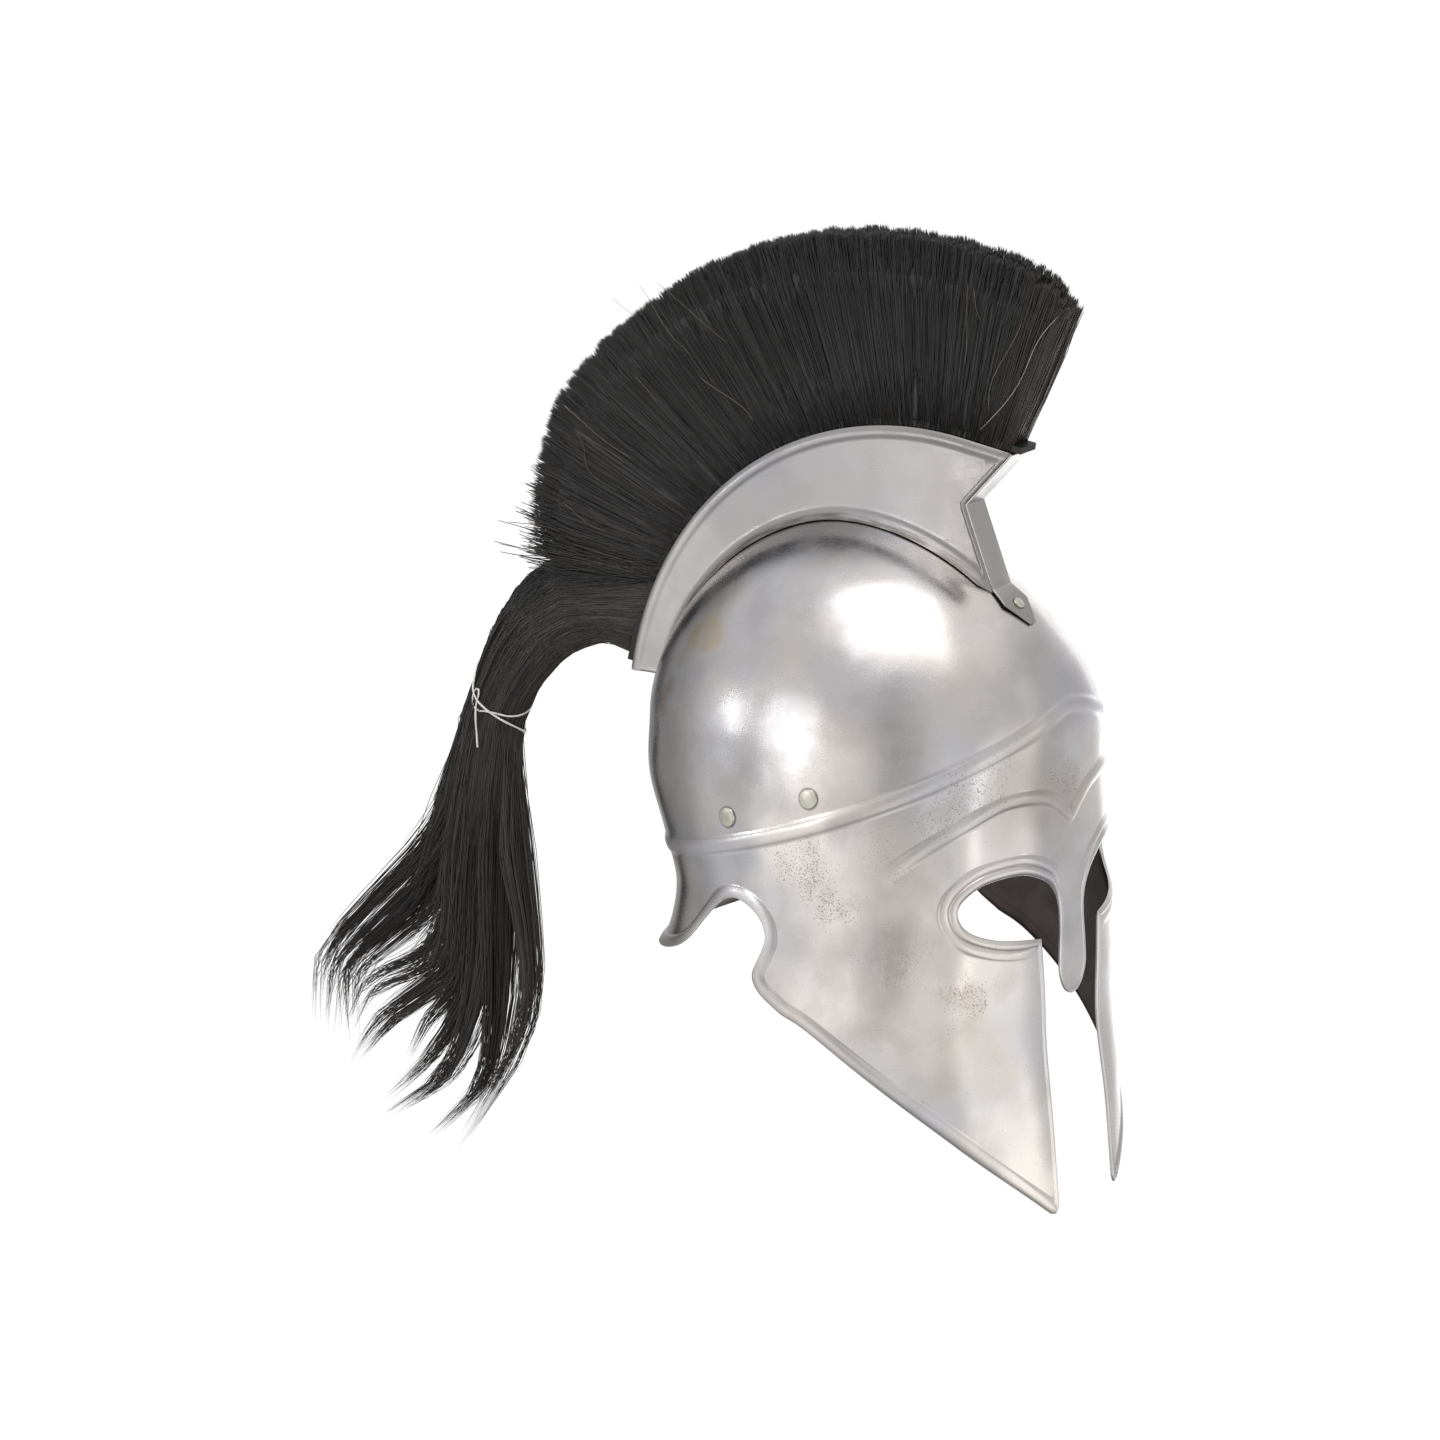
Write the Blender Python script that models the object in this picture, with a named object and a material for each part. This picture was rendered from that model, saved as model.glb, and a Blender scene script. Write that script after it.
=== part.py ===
"""Greek helmet of the Corinthian kind, with a crest box and a horsehair brush.

The skull, nasal, cheek plates and neck guard are one raised steel sheet, hollow for a head.
Sizes are in millimetres and become metres when a mesh is made. The face looks along -Y, the
wearer's right is -X, and the origin is the inside of the crown, where the head carries it.
"""

import math

import bmesh
import bpy
import numpy as np
from mathutils import Matrix, Vector
from mathutils.geometry import delaunay_2d_cdt

MM = 0.001
SEAT = 0.3                 # clearance where two pieces touch

# The raised sheet
WALL = 1.2                 # 18 gauge steel
CROWN = WALL               # outside of the crown, so that its inside is at height 0
BROW_LEVEL = -100.0        # below this height the sections stop closing to the crown
DOME_FULLNESS = 1.8        # exponent of the curve from the brow level to the crown
BACK_SQUARENESS = 2.1      # exponent of a section's back half
CROWN_SQUARENESS = 2.06    # of its front half near the crown
FACE_SQUARENESS = 2.58     # and of its front half in the face
DOME_EDGE = -62.0          # the plain dome ends here and the worked lower part begins

# Horizontal sections of the sheet: height, half width, reach to the front, reach to the back
SECTIONS = np.array([
    (0.0, 83.0, 124.5, 112.0),
    (-100.0, 89.5, 122.0, 115.0),
    (-130.0, 93.5, 120.0, 116.0),
    (-160.0, 95.5, 119.5, 106.0),
    (-185.0, 97.5, 119.0, 98.5),
    (-205.0, 102.5, 118.7, 101.5),
    (-225.0, 105.5, 118.2, 111.5),
    (-250.0, 106.0, 117.2, 119.0),
    (-300.0, 100.5, 120.8, 112.0),
    (-350.0, 92.7, 123.2, 110.0),
])

# The free edge of one half, in smooth runs that meet at corners. Columns: turn from the front
# in degrees, height, width of the rolled border, its rise, how far its outer side stays up as
# a turned lip, and the rise of a second roll beside it.
NASAL_AND_EYE = (
    (0.0, -236.0, 2.5, 0.3, 0.0, 0.0),
    (3.6, -232.8, 2.5, 0.3, 0.0, 0.0),
    (5.9, -224.0, 2.5, 0.3, 0.0, 0.0),
    (6.0, -214.0, 2.5, 0.3, 0.0, 0.0),
    (5.4, -198.0, 2.5, 0.3, 0.0, 0.0),
    (5.7, -188.0, 3.0, 0.5, 0.0, 0.0),
    (7.4, -179.8, 4.0, 0.9, 0.0, 0.3),
    (11.1, -172.4, 4.6, 1.2, 0.0, 0.8),
    (19.0, -165.9, 4.6, 1.2, 0.0, 0.9),
    (28.4, -166.6, 4.6, 1.2, 0.0, 0.9),
    (34.6, -173.2, 4.6, 1.2, 0.0, 0.9),
    (36.6, -181.0, 4.6, 1.2, 0.0, 0.9),
    (34.4, -190.0, 4.6, 1.2, 0.0, 0.9),
    (28.0, -196.2, 4.6, 1.2, 0.0, 0.8),
    (20.5, -199.4, 4.6, 1.0, 0.0, 0.5),
    (13.4, -201.6, 3.0, 0.7, 0.0, 0.0),
)
CHEEK_FRONT = (
    (13.4, -201.6, 3.0, 0.7, 0.0, 0.0),
    (12.3, -245.0, 2.8, 0.6, 0.0, 0.0),
    (12.5, -297.0, 2.8, 0.6, 0.0, 0.0),
    (12.4, -340.0, 2.8, 0.6, 0.0, 0.0),
)
CHEEK_TIP = (
    (12.4, -340.0, 2.8, 0.6, 0.0, 0.0),
    (13.4, -343.6, 4.0, 0.8, 0.0, 0.0),
    (15.2, -343.0, 6.0, 1.1, 0.0, 0.0),
)
CHEEK_BELOW = (
    (15.2, -343.0, 6.0, 1.1, 0.0, 0.0),
    (32.9, -311.5, 7.0, 1.2, 0.1, 0.0),
    (48.2, -283.6, 7.0, 1.2, 0.1, 0.0),
    (73.6, -243.0, 7.0, 1.2, 0.1, 0.0),
    (84.5, -231.6, 7.0, 1.2, 0.2, 0.0),
)
EAR_AND_NECK = (
    (84.5, -231.6, 7.0, 1.2, 0.2, 0.0),
    (91.0, -222.4, 6.5, 1.3, 0.4, 0.0),
    (93.0, -214.0, 6.2, 1.5, 0.7, 0.0),
    (90.6, -204.0, 6.0, 1.6, 1.0, 0.0),
    (89.3, -196.0, 6.0, 1.6, 1.0, 0.0),
    (91.0, -188.2, 6.0, 1.6, 1.0, 0.0),
    (95.2, -181.4, 6.0, 1.6, 1.0, 0.0),
    (101.0, -177.8, 6.0, 1.6, 1.0, 0.0),
    (107.0, -180.4, 6.0, 1.6, 1.0, 0.0),
    (113.5, -191.0, 6.0, 1.6, 1.0, 0.0),
    (121.0, -204.5, 6.0, 1.6, 1.0, 0.0),
    (130.0, -212.5, 6.0, 1.6, 1.0, 0.0),
    (144.0, -218.0, 6.0, 1.6, 1.0, 0.0),
    (162.0, -221.5, 6.0, 1.6, 1.0, 0.0),
    (180.0, -222.5, 6.0, 1.6, 1.0, 0.0),
)
SECOND_ROLL_WIDTH = 5.2

# The raised band that runs round the skull, and one brow. Columns: turn, height, rise.
RIDGE = (
    (0.0, -87.0, 1.3),
    (6.0, -89.3, 1.3),
    (14.0, -94.6, 1.3),
    (30.0, -106.2, 1.3),
    (48.7, -120.9, 1.3),
    (74.0, -137.4, 1.3),
    (102.5, -150.5, 1.3),
    (134.0, -161.8, 1.3),
    (160.0, -167.5, 1.3),
    (180.0, -169.0, 1.3),
)
RIDGE_WIDTH = 9.0
BROW = (
    (0.0, -144.5, 1.2),
    (4.6, -137.2, 1.2),
    (9.0, -131.6, 1.2),
    (13.8, -128.9, 1.2),
    (19.5, -127.6, 1.2),
    (26.0, -129.4, 1.2),
    (37.0, -139.5, 1.1),
    (46.0, -150.0, 0.8),
    (52.8, -159.6, 0.1),
)
BROW_WIDTH = 7.5

# How finely the sheet is faceted
EDGE_STEP = 17.0
EDGE_BEND = 24.0           # degrees that an edge turns between two points
FIELD_STEP = 17.0
DOME_TURN = 7.5            # degrees between the dome's meridians
DOME_RINGS = 6

# Rivets: turn and height on the skull
SKULL_RIVETS = {"front": (75.0, -123.5), "rear": (104.6, -137.6)}
RIVET_HEAD = 5.0           # radius
RIVET_SHANK = 2.0
TAB_RIVET_HEIGHT = -38.8
TAB_RIVET_HEAD = 3.1
TAB_RIVET_SHANK = 1.5
RIVET_SIDES = 12
RIVET_SAG = 0.4            # how far the sheet's flat facets lie inside its true curve

# The crest box, in the plane of symmetry (y, z)
PLATE = 1.0                # thickness of its sheet
BOX_HALF = 8.5             # half of its width outside
BOX_CENTRE = (-33.7, -125.3)
BOX_RADIUS = 174.3         # of its top edge, which runs on straight at the front
BOX_FRONT_RUN = 29.0
BOX_STRAIGHT_TURN = -11.85
BOX_REAR_TURN = 78.2
BOX_NOTCH = (-70.0, 12.0)
BOX_FRONT_FOOT = -86.3     # y where its foot begins
BOX_REAR_FOOT_HEIGHT = -91.5
BOX_BORDER = 6.2
BOX_BORDER_RISE = 1.1
BOX_END_BORDER = 2.5       # narrower along the front and the rear
BOX_END_RISE = 0.5
LIP_DROP = 6.5             # height of the flared foot above the skull
LIP_REACH = 4.5            # how far it flares
LIP_END = 9.0              # over this length the flare dies away at the front
LIP_SEAT = 0.9
BOX_STEP = 13.0
SWEEP_CENTRE = (-8.0, -103.0)   # the foot is worked out along rays from here
SWEEP_REACHES = (40.0, 170.0)
SWEEP_TURNS = (-60.0, 86.0)

# The strap that closes the box in front and is riveted to the skull. Half widths at the top
# and the notch, at the foot, at the tab's shoulder and at its tip.
STRAP_HALF = 8.5
STRAP_FOOT_HALF = 8.6
STRAP_SHOULDER_HALF = 10.6
STRAP_TIP_HALF = 2.4
STRAP_SHOULDER_HEIGHT = -37.6
STRAP_TIP_HEIGHT = -48.0
STRAP_STATIONS = 5         # along the tab
STRAP_SEAT = 0.45          # how far its inside lies off the skull
STRAP_SWEEP = 26.0         # degrees about SWEEP_CENTRE that are enough for the tab

# The strip between the plates' rear ends
REAR_STRIP_HALF = 7.2
REAR_STRIP_START = 3.0
REAR_STRIP_END = 15.0
REAR_STRIP_LIFT = 0.8      # above the plates' rear edges

# The horsehair
BLOCK_HALF = 7.2           # the block that holds the hair, between the side plates
BLOCK_DEPTH = 10.0
BLOCK_SLOPE = 16.0         # where its underside begins, behind the sloping strap
BLOCK_REAR = 4.0
BLOCK_LIP = 0.8            # underside of its front end, over the strap's top
BLOCK_NECK = 3.0           # where that underside meets the slope
BLOCK_PROUD = 4.2
BLOCK_FRONT = 5.0          # how far it stands out at the front
BRUSH_CENTRE = (-22.5, -115.5)
BRUSH_RADIUS = 261.0
BRUSH_ROOT_START = 1.0     # along the box's top edge
BRUSH_ROOT_END = 253.0
BRUSH_TIP_TURNS = (-26.0, 68.6)
BRUSH_FRONT_ROUND = 5.0    # how much shorter the front and rear hair are
BRUSH_REAR_ROUND = 28.0
BRUSH_FRONT_SHARE = 0.05   # over how much of the brush
BRUSH_REAR_SHARE = 0.22
BRUSH_FRONT_HALF = 9.5     # half width of the tips at the front end
BRUSH_LOCKS = 32
BRUSH_ROWS = 4
BRUSH_ROOT_HALF = 6.8
BRUSH_TIP_HALF = 12.5
BRUSH_SPREAD = 0.8         # exponent of the widening from root to tip
BRUSH_TRIM = 0.72          # share of the width that the trimmed tips keep
LOCK_RIDGE = 1.0
LOCK_RAGGED = 2.5

# The tail's bound part. Columns: y, z, half width in its plane, half width across.
TAIL_STEM = (
    (135.2, -65.5, 17.5, 6.8),
    (157.8, -57.5, 20.0, 8.5),
    (184.0, -61.5, 24.5, 11.0),
    (207.5, -80.0, 20.5, 12.5),
    (229.0, -114.0, 16.0, 13.0),
    (237.0, -137.0, 18.5, 14.0),
    (245.0, -165.0, 23.0, 14.0),
    (253.0, -190.0, 26.0, 12.0),
    (259.0, -208.0, 12.0, 6.0),
)
STEM_SIDES = 12

# The locks that fan out of it, from the one nearest the helmet to the furthest. Each is
# a run through the y and z of four places, given here for the first and the last lock.
TAIL_LOCKS = 9
LOCK_ROOTS = ((224.0, -128.0), (247.0, -133.0))
LOCK_WAISTS = ((226.0, -190.0), (283.0, -199.0))
LOCK_BENDS = ((224.0, -262.0), (360.0, -268.0))
LOCK_TIPS = ((246.0, -338.0), (352.0, -326.0))
LOCK_TIP_SAG = 48.0        # how much lower the middle tips hang
LOCK_LEAN = 7.0
LOCK_RADII = (5.0, 8.2, 7.0, 0.8)
LOCK_SIDES = 6

# The string round the tail, from its loose end. Columns: turn round the stem in degrees from
# the wearer's right, distance along the stem from its narrowest section, lift off the hair.
STRING_RADIUS = 0.7
STRING_STATION = 4
STRING_GAP = 0.5
STRING_STEP = 3.2
STRING_ROUTE = (
    (-27.0, 27.3, 0.6),
    (-14.0, 19.0, 1.2),
    (-2.0, 10.4, 2.0),
    (9.0, 4.0, 2.2),
    (19.0, -2.0, 1.6),
    (27.0, -2.4, 0.8),
    (32.0, 1.0, 0.2),
    (28.0, 5.4, 0.0),
    (11.0, 6.7, 0.0),
    (-8.0, 4.6, 0.0),
    (-30.0, 2.9, 0.0),
    (-49.0, 2.3, 0.0),
    (-86.0, 0.0, 0.0),
    (-130.0, -4.0, 0.0),
    (-180.0, -8.0, 0.0),
    (-230.0, -11.0, 0.0),
    (-275.0, -12.0, 0.0),
    (-311.0, -9.4, 1.0),
    (-338.0, -3.2, 3.6),
    (-352.0, 0.0, 3.4),
    (-368.0, 2.4, 2.0),
    (-394.0, 4.6, 1.7),
    (-425.0, 8.0, 0.6),
    (-450.0, 11.5, 0.0),
    (-473.0, 14.8, 0.0),
    (-505.0, 15.5, 0.0),
    (-540.0, 12.0, 0.0),
)


def smoothstep(value):
    value = np.clip(value, 0.0, 1.0)
    return value * value * (3.0 - 2.0 * value)


def section_value(column, height):
    """Value of a column of SECTIONS at a height, on a smooth curve through the rows."""
    rows = SECTIONS[::-1]
    heights, values = rows[:, 0], rows[:, column]
    slopes = np.gradient(values, heights)
    height = np.clip(height, heights[0], heights[-1])
    i = np.clip(np.searchsorted(heights, height) - 1, 0, len(heights) - 2)
    span = heights[i + 1] - heights[i]
    t = (height - heights[i]) / span
    return ((2 * t**3 - 3 * t**2 + 1) * values[i] + (t**3 - 2 * t**2 + t) * span * slopes[i]
            + (3 * t**2 - 2 * t**3) * values[i + 1] + (t**3 - t**2) * span * slopes[i + 1])


def shell_surface(turn, height):
    """Point of the plain outer surface at a turn (radians, 0 at the face) and a height."""
    turn, height = np.broadcast_arrays(np.asarray(turn, float), np.asarray(height, float))
    half, front, back = (section_value(c, height) for c in (1, 2, 3))
    closing = np.clip((height - BROW_LEVEL) / (CROWN - BROW_LEVEL), 0.0, 1.0)
    closing = (1.0 - closing**DOME_FULLNESS) ** (1.0 / DOME_FULLNESS)
    sine, cosine = np.sin(turn), np.cos(turn)
    face = smoothstep((-40.0 - height) / 80.0)
    squareness = CROWN_SQUARENESS + (FACE_SQUARENESS - CROWN_SQUARENESS) * face
    squareness = np.where(cosine > 0, squareness, BACK_SQUARENESS)
    reach = np.where(cosine > 0, front, back)
    radius = (np.abs(sine / half) ** squareness + np.abs(cosine / reach) ** squareness)
    radius = closing * radius ** (-1.0 / squareness)
    return np.stack([radius * sine, -radius * cosine, height], axis=-1)


def shell_normal(turn, height):
    """Outward direction of the plain surface, from its slopes both ways."""
    small = 0.004
    low = np.minimum(height - 0.4, CROWN - 0.8)
    across = shell_surface(turn + small, height) - shell_surface(turn - small, height)
    along = shell_surface(turn, np.minimum(height + 0.1, CROWN - 0.05)) - shell_surface(turn, low)
    normal = np.cross(across, along)
    return normal / (np.linalg.norm(normal, axis=-1, keepdims=True) + 1e-12)


def girth_table():
    """Length along the widest section, which is what the sheet's pattern is laid out on."""
    turns = np.radians(np.linspace(0.0, 180.0, 721))
    points = shell_surface(turns, np.full_like(turns, -190.0))
    steps = np.linalg.norm(np.diff(points, axis=0), axis=1)
    return turns, np.concatenate([[0.0], np.cumsum(steps)])


GIRTH_TURNS, GIRTH_LENGTHS = girth_table()
HALF_GIRTH = GIRTH_LENGTHS[-1]


def pattern_row(turn_degrees):
    return np.interp(np.radians(turn_degrees), GIRTH_TURNS, GIRTH_LENGTHS)


def pattern_turn(length):
    return np.interp(length, GIRTH_LENGTHS, GIRTH_TURNS)


def on_pattern(rows):
    """Table rows with their turns changed to lengths along the girth."""
    rows = np.array(rows, float)
    rows[:, 0] = pattern_row(rows[:, 0])
    return rows


def smooth_run(rows, flat_start=False, flat_end=False):
    """A dense smooth curve through table rows, whose end may meet the centre line square."""
    rows = np.asarray(rows, float)
    first = rows[1] * 1.0 if flat_start else 2 * rows[0] - rows[1]
    last = rows[-2] * 1.0 if flat_end else 2 * rows[-1] - rows[-2]
    if flat_start:
        first[0] = 2 * rows[0, 0] - rows[1, 0]
    if flat_end:
        last[0] = 2 * rows[-1, 0] - rows[-2, 0]
    rows = np.vstack([first, rows, last])
    t = np.linspace(0.0, 1.0, 24, endpoint=False)[:, None]
    run = []
    for a, b, c, d in zip(rows, rows[1:], rows[2:], rows[3:]):
        run.append(0.5 * (2 * b + (c - a) * t + (2 * a - 5 * b + 4 * c - d) * t**2
                          + (3 * b - a - 3 * c + d) * t**3))
    return np.vstack(run + [rows[-2][None]])


def thin_out(run, step, bend):
    """Points of a dense run, no further apart than a step and no more than a bend apart."""
    legs = np.diff(run[:, :2], axis=0)
    lengths = np.linalg.norm(legs, axis=1)
    angles = np.unwrap(np.arctan2(legs[:, 1], legs[:, 0]))
    turning = np.abs(np.gradient(angles)) if len(angles) > 2 else np.zeros_like(angles)
    cost = np.concatenate([[0.0], np.cumsum(lengths / step + np.degrees(turning) / bend)])
    count = max(1, math.ceil(cost[-1]))
    wanted = np.linspace(0.0, cost[-1], count + 1)
    return np.stack([np.interp(wanted, cost, run[:, c]) for c in range(run.shape[1])], axis=-1)


def line_normals(points):
    """Left-hand normals at a line's points, lengthened at corners so that offsets stay parallel."""
    legs = np.diff(points[:, :2], axis=0)
    legs /= np.linalg.norm(legs, axis=1, keepdims=True) + 1e-12
    before = np.vstack([legs[:1], legs])
    after = np.vstack([legs, legs[-1:]])
    mean = before + after
    mean /= np.linalg.norm(mean, axis=1, keepdims=True) + 1e-12
    cosine = np.clip((mean * after).sum(axis=1, keepdims=True), 0.45, 1.0)
    return np.stack([-mean[:, 1], mean[:, 0]], axis=-1) / cosine


def nearest(points, line):
    """Distance from points to a line, with the line's other columns at the nearest place."""
    start, leg = line[:-1, :2], np.diff(line[:, :2], axis=0)
    squares = (leg**2).sum(axis=1) + 1e-12
    distance = np.empty(len(points))
    values = np.empty((len(points), line.shape[1] - 2))
    for low in range(0, len(points), 2000):
        part = points[low:low + 2000]
        offset = part[:, None, :2] - start[None]
        t = np.clip((offset * leg[None]).sum(axis=2) / squares, 0.0, 1.0)
        gaps = np.linalg.norm(offset - t[..., None] * leg[None], axis=2)
        best = gaps.argmin(axis=1)
        at = np.arange(len(part))
        share = t[at, best][:, None]
        distance[low:low + 2000] = gaps[at, best]
        values[low:low + 2000] = line[best, 2:] * (1 - share) + line[best + 1, 2:] * share
    return distance, values


def shell_lines(step, bend):
    """The half pattern's free edge, ridge and brow as point lists."""
    runs = [
        smooth_run(on_pattern(NASAL_AND_EYE), flat_start=True),
        smooth_run(on_pattern(CHEEK_FRONT)),
        smooth_run(on_pattern(CHEEK_TIP)),
        smooth_run(on_pattern(CHEEK_BELOW)),
        smooth_run(on_pattern(EAR_AND_NECK), flat_end=True),
    ]
    thin = [thin_out(run, step, bend) for run in runs]
    edge = np.vstack([run[:-1] for run in thin[:-1]] + [thin[-1]])
    ridge = thin_out(smooth_run(on_pattern(RIDGE), flat_start=True, flat_end=True), step, bend)
    brow = thin_out(smooth_run(on_pattern(BROW)), step, bend)
    return edge, ridge, brow


def relief(points, lines):
    """How far the worked borders, ridge and brows stand above the plain surface."""
    edge, ridge, brow = lines
    distance, values = nearest(points, edge)
    width, rise, lip, second = values.T
    across = np.clip(distance / width, 0.0, 1.0)
    roll = 4.0 * across * (1.0 - across)
    turned = 1.0 - across**2
    height = rise * np.where(distance < width, (1.0 - lip) * roll + lip * turned, 0.0)
    across = np.clip((distance - width) / SECOND_ROLL_WIDTH, 0.0, 1.0)
    height += second * 4.0 * across * (1.0 - across)
    for line, band in ((ridge, RIDGE_WIDTH), (brow, BROW_WIDTH)):
        distance, values = nearest(points, line)
        height += values[:, 0] * np.clip(1.0 - (2.0 * distance / band) ** 2, 0.0, 1.0)
    return height


def beside(line, offset, keep_from=None):
    """Points parallel to a line, without those that a bend has brought too near to it."""
    points = line[:, :2] + line_normals(line) * offset
    clear = nearest(points, line if keep_from is None else keep_from)[0] > 0.96 * abs(offset)
    return [tuple(p) if ok else None for p, ok in zip(points, clear)]


def field_points(low, high, step):
    """An even triangular field over a rectangle."""
    rows = []
    rise = step * 0.866
    for i in range(int((high[1] - low[1]) / rise) + 2):
        shift = 0.5 * step * (i % 2)
        for j in range(int((high[0] - low[0]) / step) + 2):
            rows.append((low[0] + j * step + shift, low[1] + i * rise))
    return np.array(rows)


def triangulate(outline, strings, loose):
    """Triangles inside an outline that keep every string of points as edges."""
    points = [tuple(p) for p in outline]
    face = list(range(len(points)))
    links = []
    for string in strings:
        last = None
        for point in string:
            if point is None:
                last = None
                continue
            points.append(point)
            if last is not None:
                links.append((last, len(points) - 1))
            last = len(points) - 1
    points += [tuple(p) for p in loose]
    flat = [Vector((float(p[0]), float(p[1]))) for p in points]
    verts, _, faces, *_ = delaunay_2d_cdt(flat, links, [face], 1, 1e-4)
    return np.array([tuple(v) for v in verts]), [tuple(f) for f in faces]


def shell_pattern(lines, field_step, offsets, dome_turns):
    """Triangles of the worked lower half, laid out flat."""
    edge, ridge, brow = lines
    rolls = [offsets * RIDGE_WIDTH / 2, offsets * BROW_WIDTH / 2]
    strings, centre_front, centre_back = [], [], []
    for line, distances in ((ridge, rolls[0]), (brow, rolls[1])):
        normals = line_normals(line)
        for offset in distances:
            string = beside(line, offset) if offset else [tuple(p) for p in line[:, :2]]
            legs = line[1, :2] - line[0, :2]
            start = line[0, :2] + normals[0] * offset
            start = start - legs * start[0] / legs[0]
            string[0] = (0.0, round(start[1], 3))
            centre_front.append(string[0][1])
            string = [None if p is not None and i and p[0] < 1.0 else p for i, p in enumerate(string)]
            if line is ridge:
                string[-1] = (HALF_GIRTH, round(line[-1, 1] + offset, 3))
                centre_back.append(string[-1][1])
            strings.append(string)
    widths = (0.5, 1.0)
    for share in widths:
        points = edge[:, :2] + line_normals(edge) * (edge[:, 2:3] * share)
        clear = nearest(points, edge)[0] > 0.94 * edge[:, 2] * share
        string = [tuple(p) if ok else None for p, ok in zip(points, clear)]
        string[0] = (0.0, round(edge[0, 1] + edge[0, 2] * share, 3))
        string[-1] = (HALF_GIRTH, round(edge[-1, 1] + edge[-1, 2] * share, 3))
        centre_front.append(string[0][1])
        centre_back.append(string[-1][1])
        strings.append(string)
    for share in widths:
        second = edge[:, 5] > 0.25
        points = edge[:, :2] + line_normals(edge) * (edge[:, 2:3] + SECOND_ROLL_WIDTH * share)
        reach = edge[:, 2] + SECOND_ROLL_WIDTH * share
        clear = second & (nearest(points, edge)[0] > 0.94 * reach)
        strings.append([tuple(p) if ok else None for p, ok in zip(points, clear)])

    def centre_fill(levels, low, high):
        levels = sorted(set(v for v in levels if low < v < high))
        marks = [low] + levels + [high]
        filled = []
        for a, b in zip(marks, marks[1:]):
            count = max(1, round((b - a) / field_step))
            filled += [a + (b - a) * i / count for i in range(1, count + 1)]
        return filled[:-1]

    up_back = [(HALF_GIRTH, z) for z in centre_fill(centre_back, edge[-1, 1], DOME_EDGE)]
    down_front = [(0.0, z) for z in reversed(centre_fill(centre_front, edge[0, 1], DOME_EDGE))]
    ring = [(u, DOME_EDGE) for u in reversed(dome_turns)]
    outline = [tuple(p) for p in edge[:, :2]] + up_back + ring + down_front
    field = field_points((0.0, -350.0), (HALF_GIRTH, DOME_EDGE), field_step)
    keep = (field[:, 0] > 0.4 * field_step) & (field[:, 0] < HALF_GIRTH - 0.4 * field_step)
    keep &= field[:, 1] < DOME_EDGE - 0.4 * field_step
    for line, width in ((edge, 7.0), (ridge, RIDGE_WIDTH / 2), (brow, BROW_WIDTH / 2)):
        keep &= nearest(field, line)[0] > width + 0.45 * field_step
    return triangulate(outline, strings, field[keep])


def sheet_object(name, faces, outer, inner, colour, metallic, roughness):
    """A closed solid from a sheet's outer and inner points, with a rim along its free edge."""
    mesh = bpy.data.meshes.new(name)
    work = bmesh.new()
    tops = [work.verts.new(Vector(p) * MM) for p in outer]
    bottoms = [work.verts.new(Vector(p) * MM) for p in inner]
    sides = {}
    for face in faces:
        work.faces.new([tops[i] for i in face])
        work.faces.new([bottoms[i] for i in reversed(face)])
        for a, b in zip(face, face[1:] + face[:1]):
            sides[(a, b)] = True
    for a, b in list(sides):
        if (b, a) not in sides:
            work.faces.new([tops[b], tops[a], bottoms[a], bottoms[b]])
    bmesh.ops.recalc_face_normals(work, faces=work.faces)
    work.to_mesh(mesh)
    work.free()
    return place(name, mesh, colour, metallic, roughness)


def place(name, mesh, colour, metallic, roughness, sharp=32.0):
    """An object with its own material, smooth but for edges sharper than an angle."""
    mesh.shade_smooth()
    mesh.set_sharp_from_angle(angle=math.radians(sharp))
    thing = bpy.data.objects.new(name, mesh)
    bpy.context.scene.collection.objects.link(thing)
    finish = bpy.data.materials.new(name)
    finish.use_nodes = True
    shader = finish.node_tree.nodes["Principled BSDF"]
    shader.inputs["Base Color"].default_value = (*colour, 1.0)
    shader.inputs["Metallic"].default_value = metallic
    shader.inputs["Roughness"].default_value = roughness
    mesh.materials.append(finish)
    return thing


STEEL = ((0.55, 0.54, 0.54), 1.0, 0.25)
HAIR = ((0.012, 0.011, 0.010), 0.0, 0.6)
BLOCK = ((0.01, 0.01, 0.01), 0.0, 0.7)
RIVET = ((0.66, 0.65, 0.57), 1.0, 0.4)
STRING = ((0.8, 0.79, 0.75), 0.0, 0.8)


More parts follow.
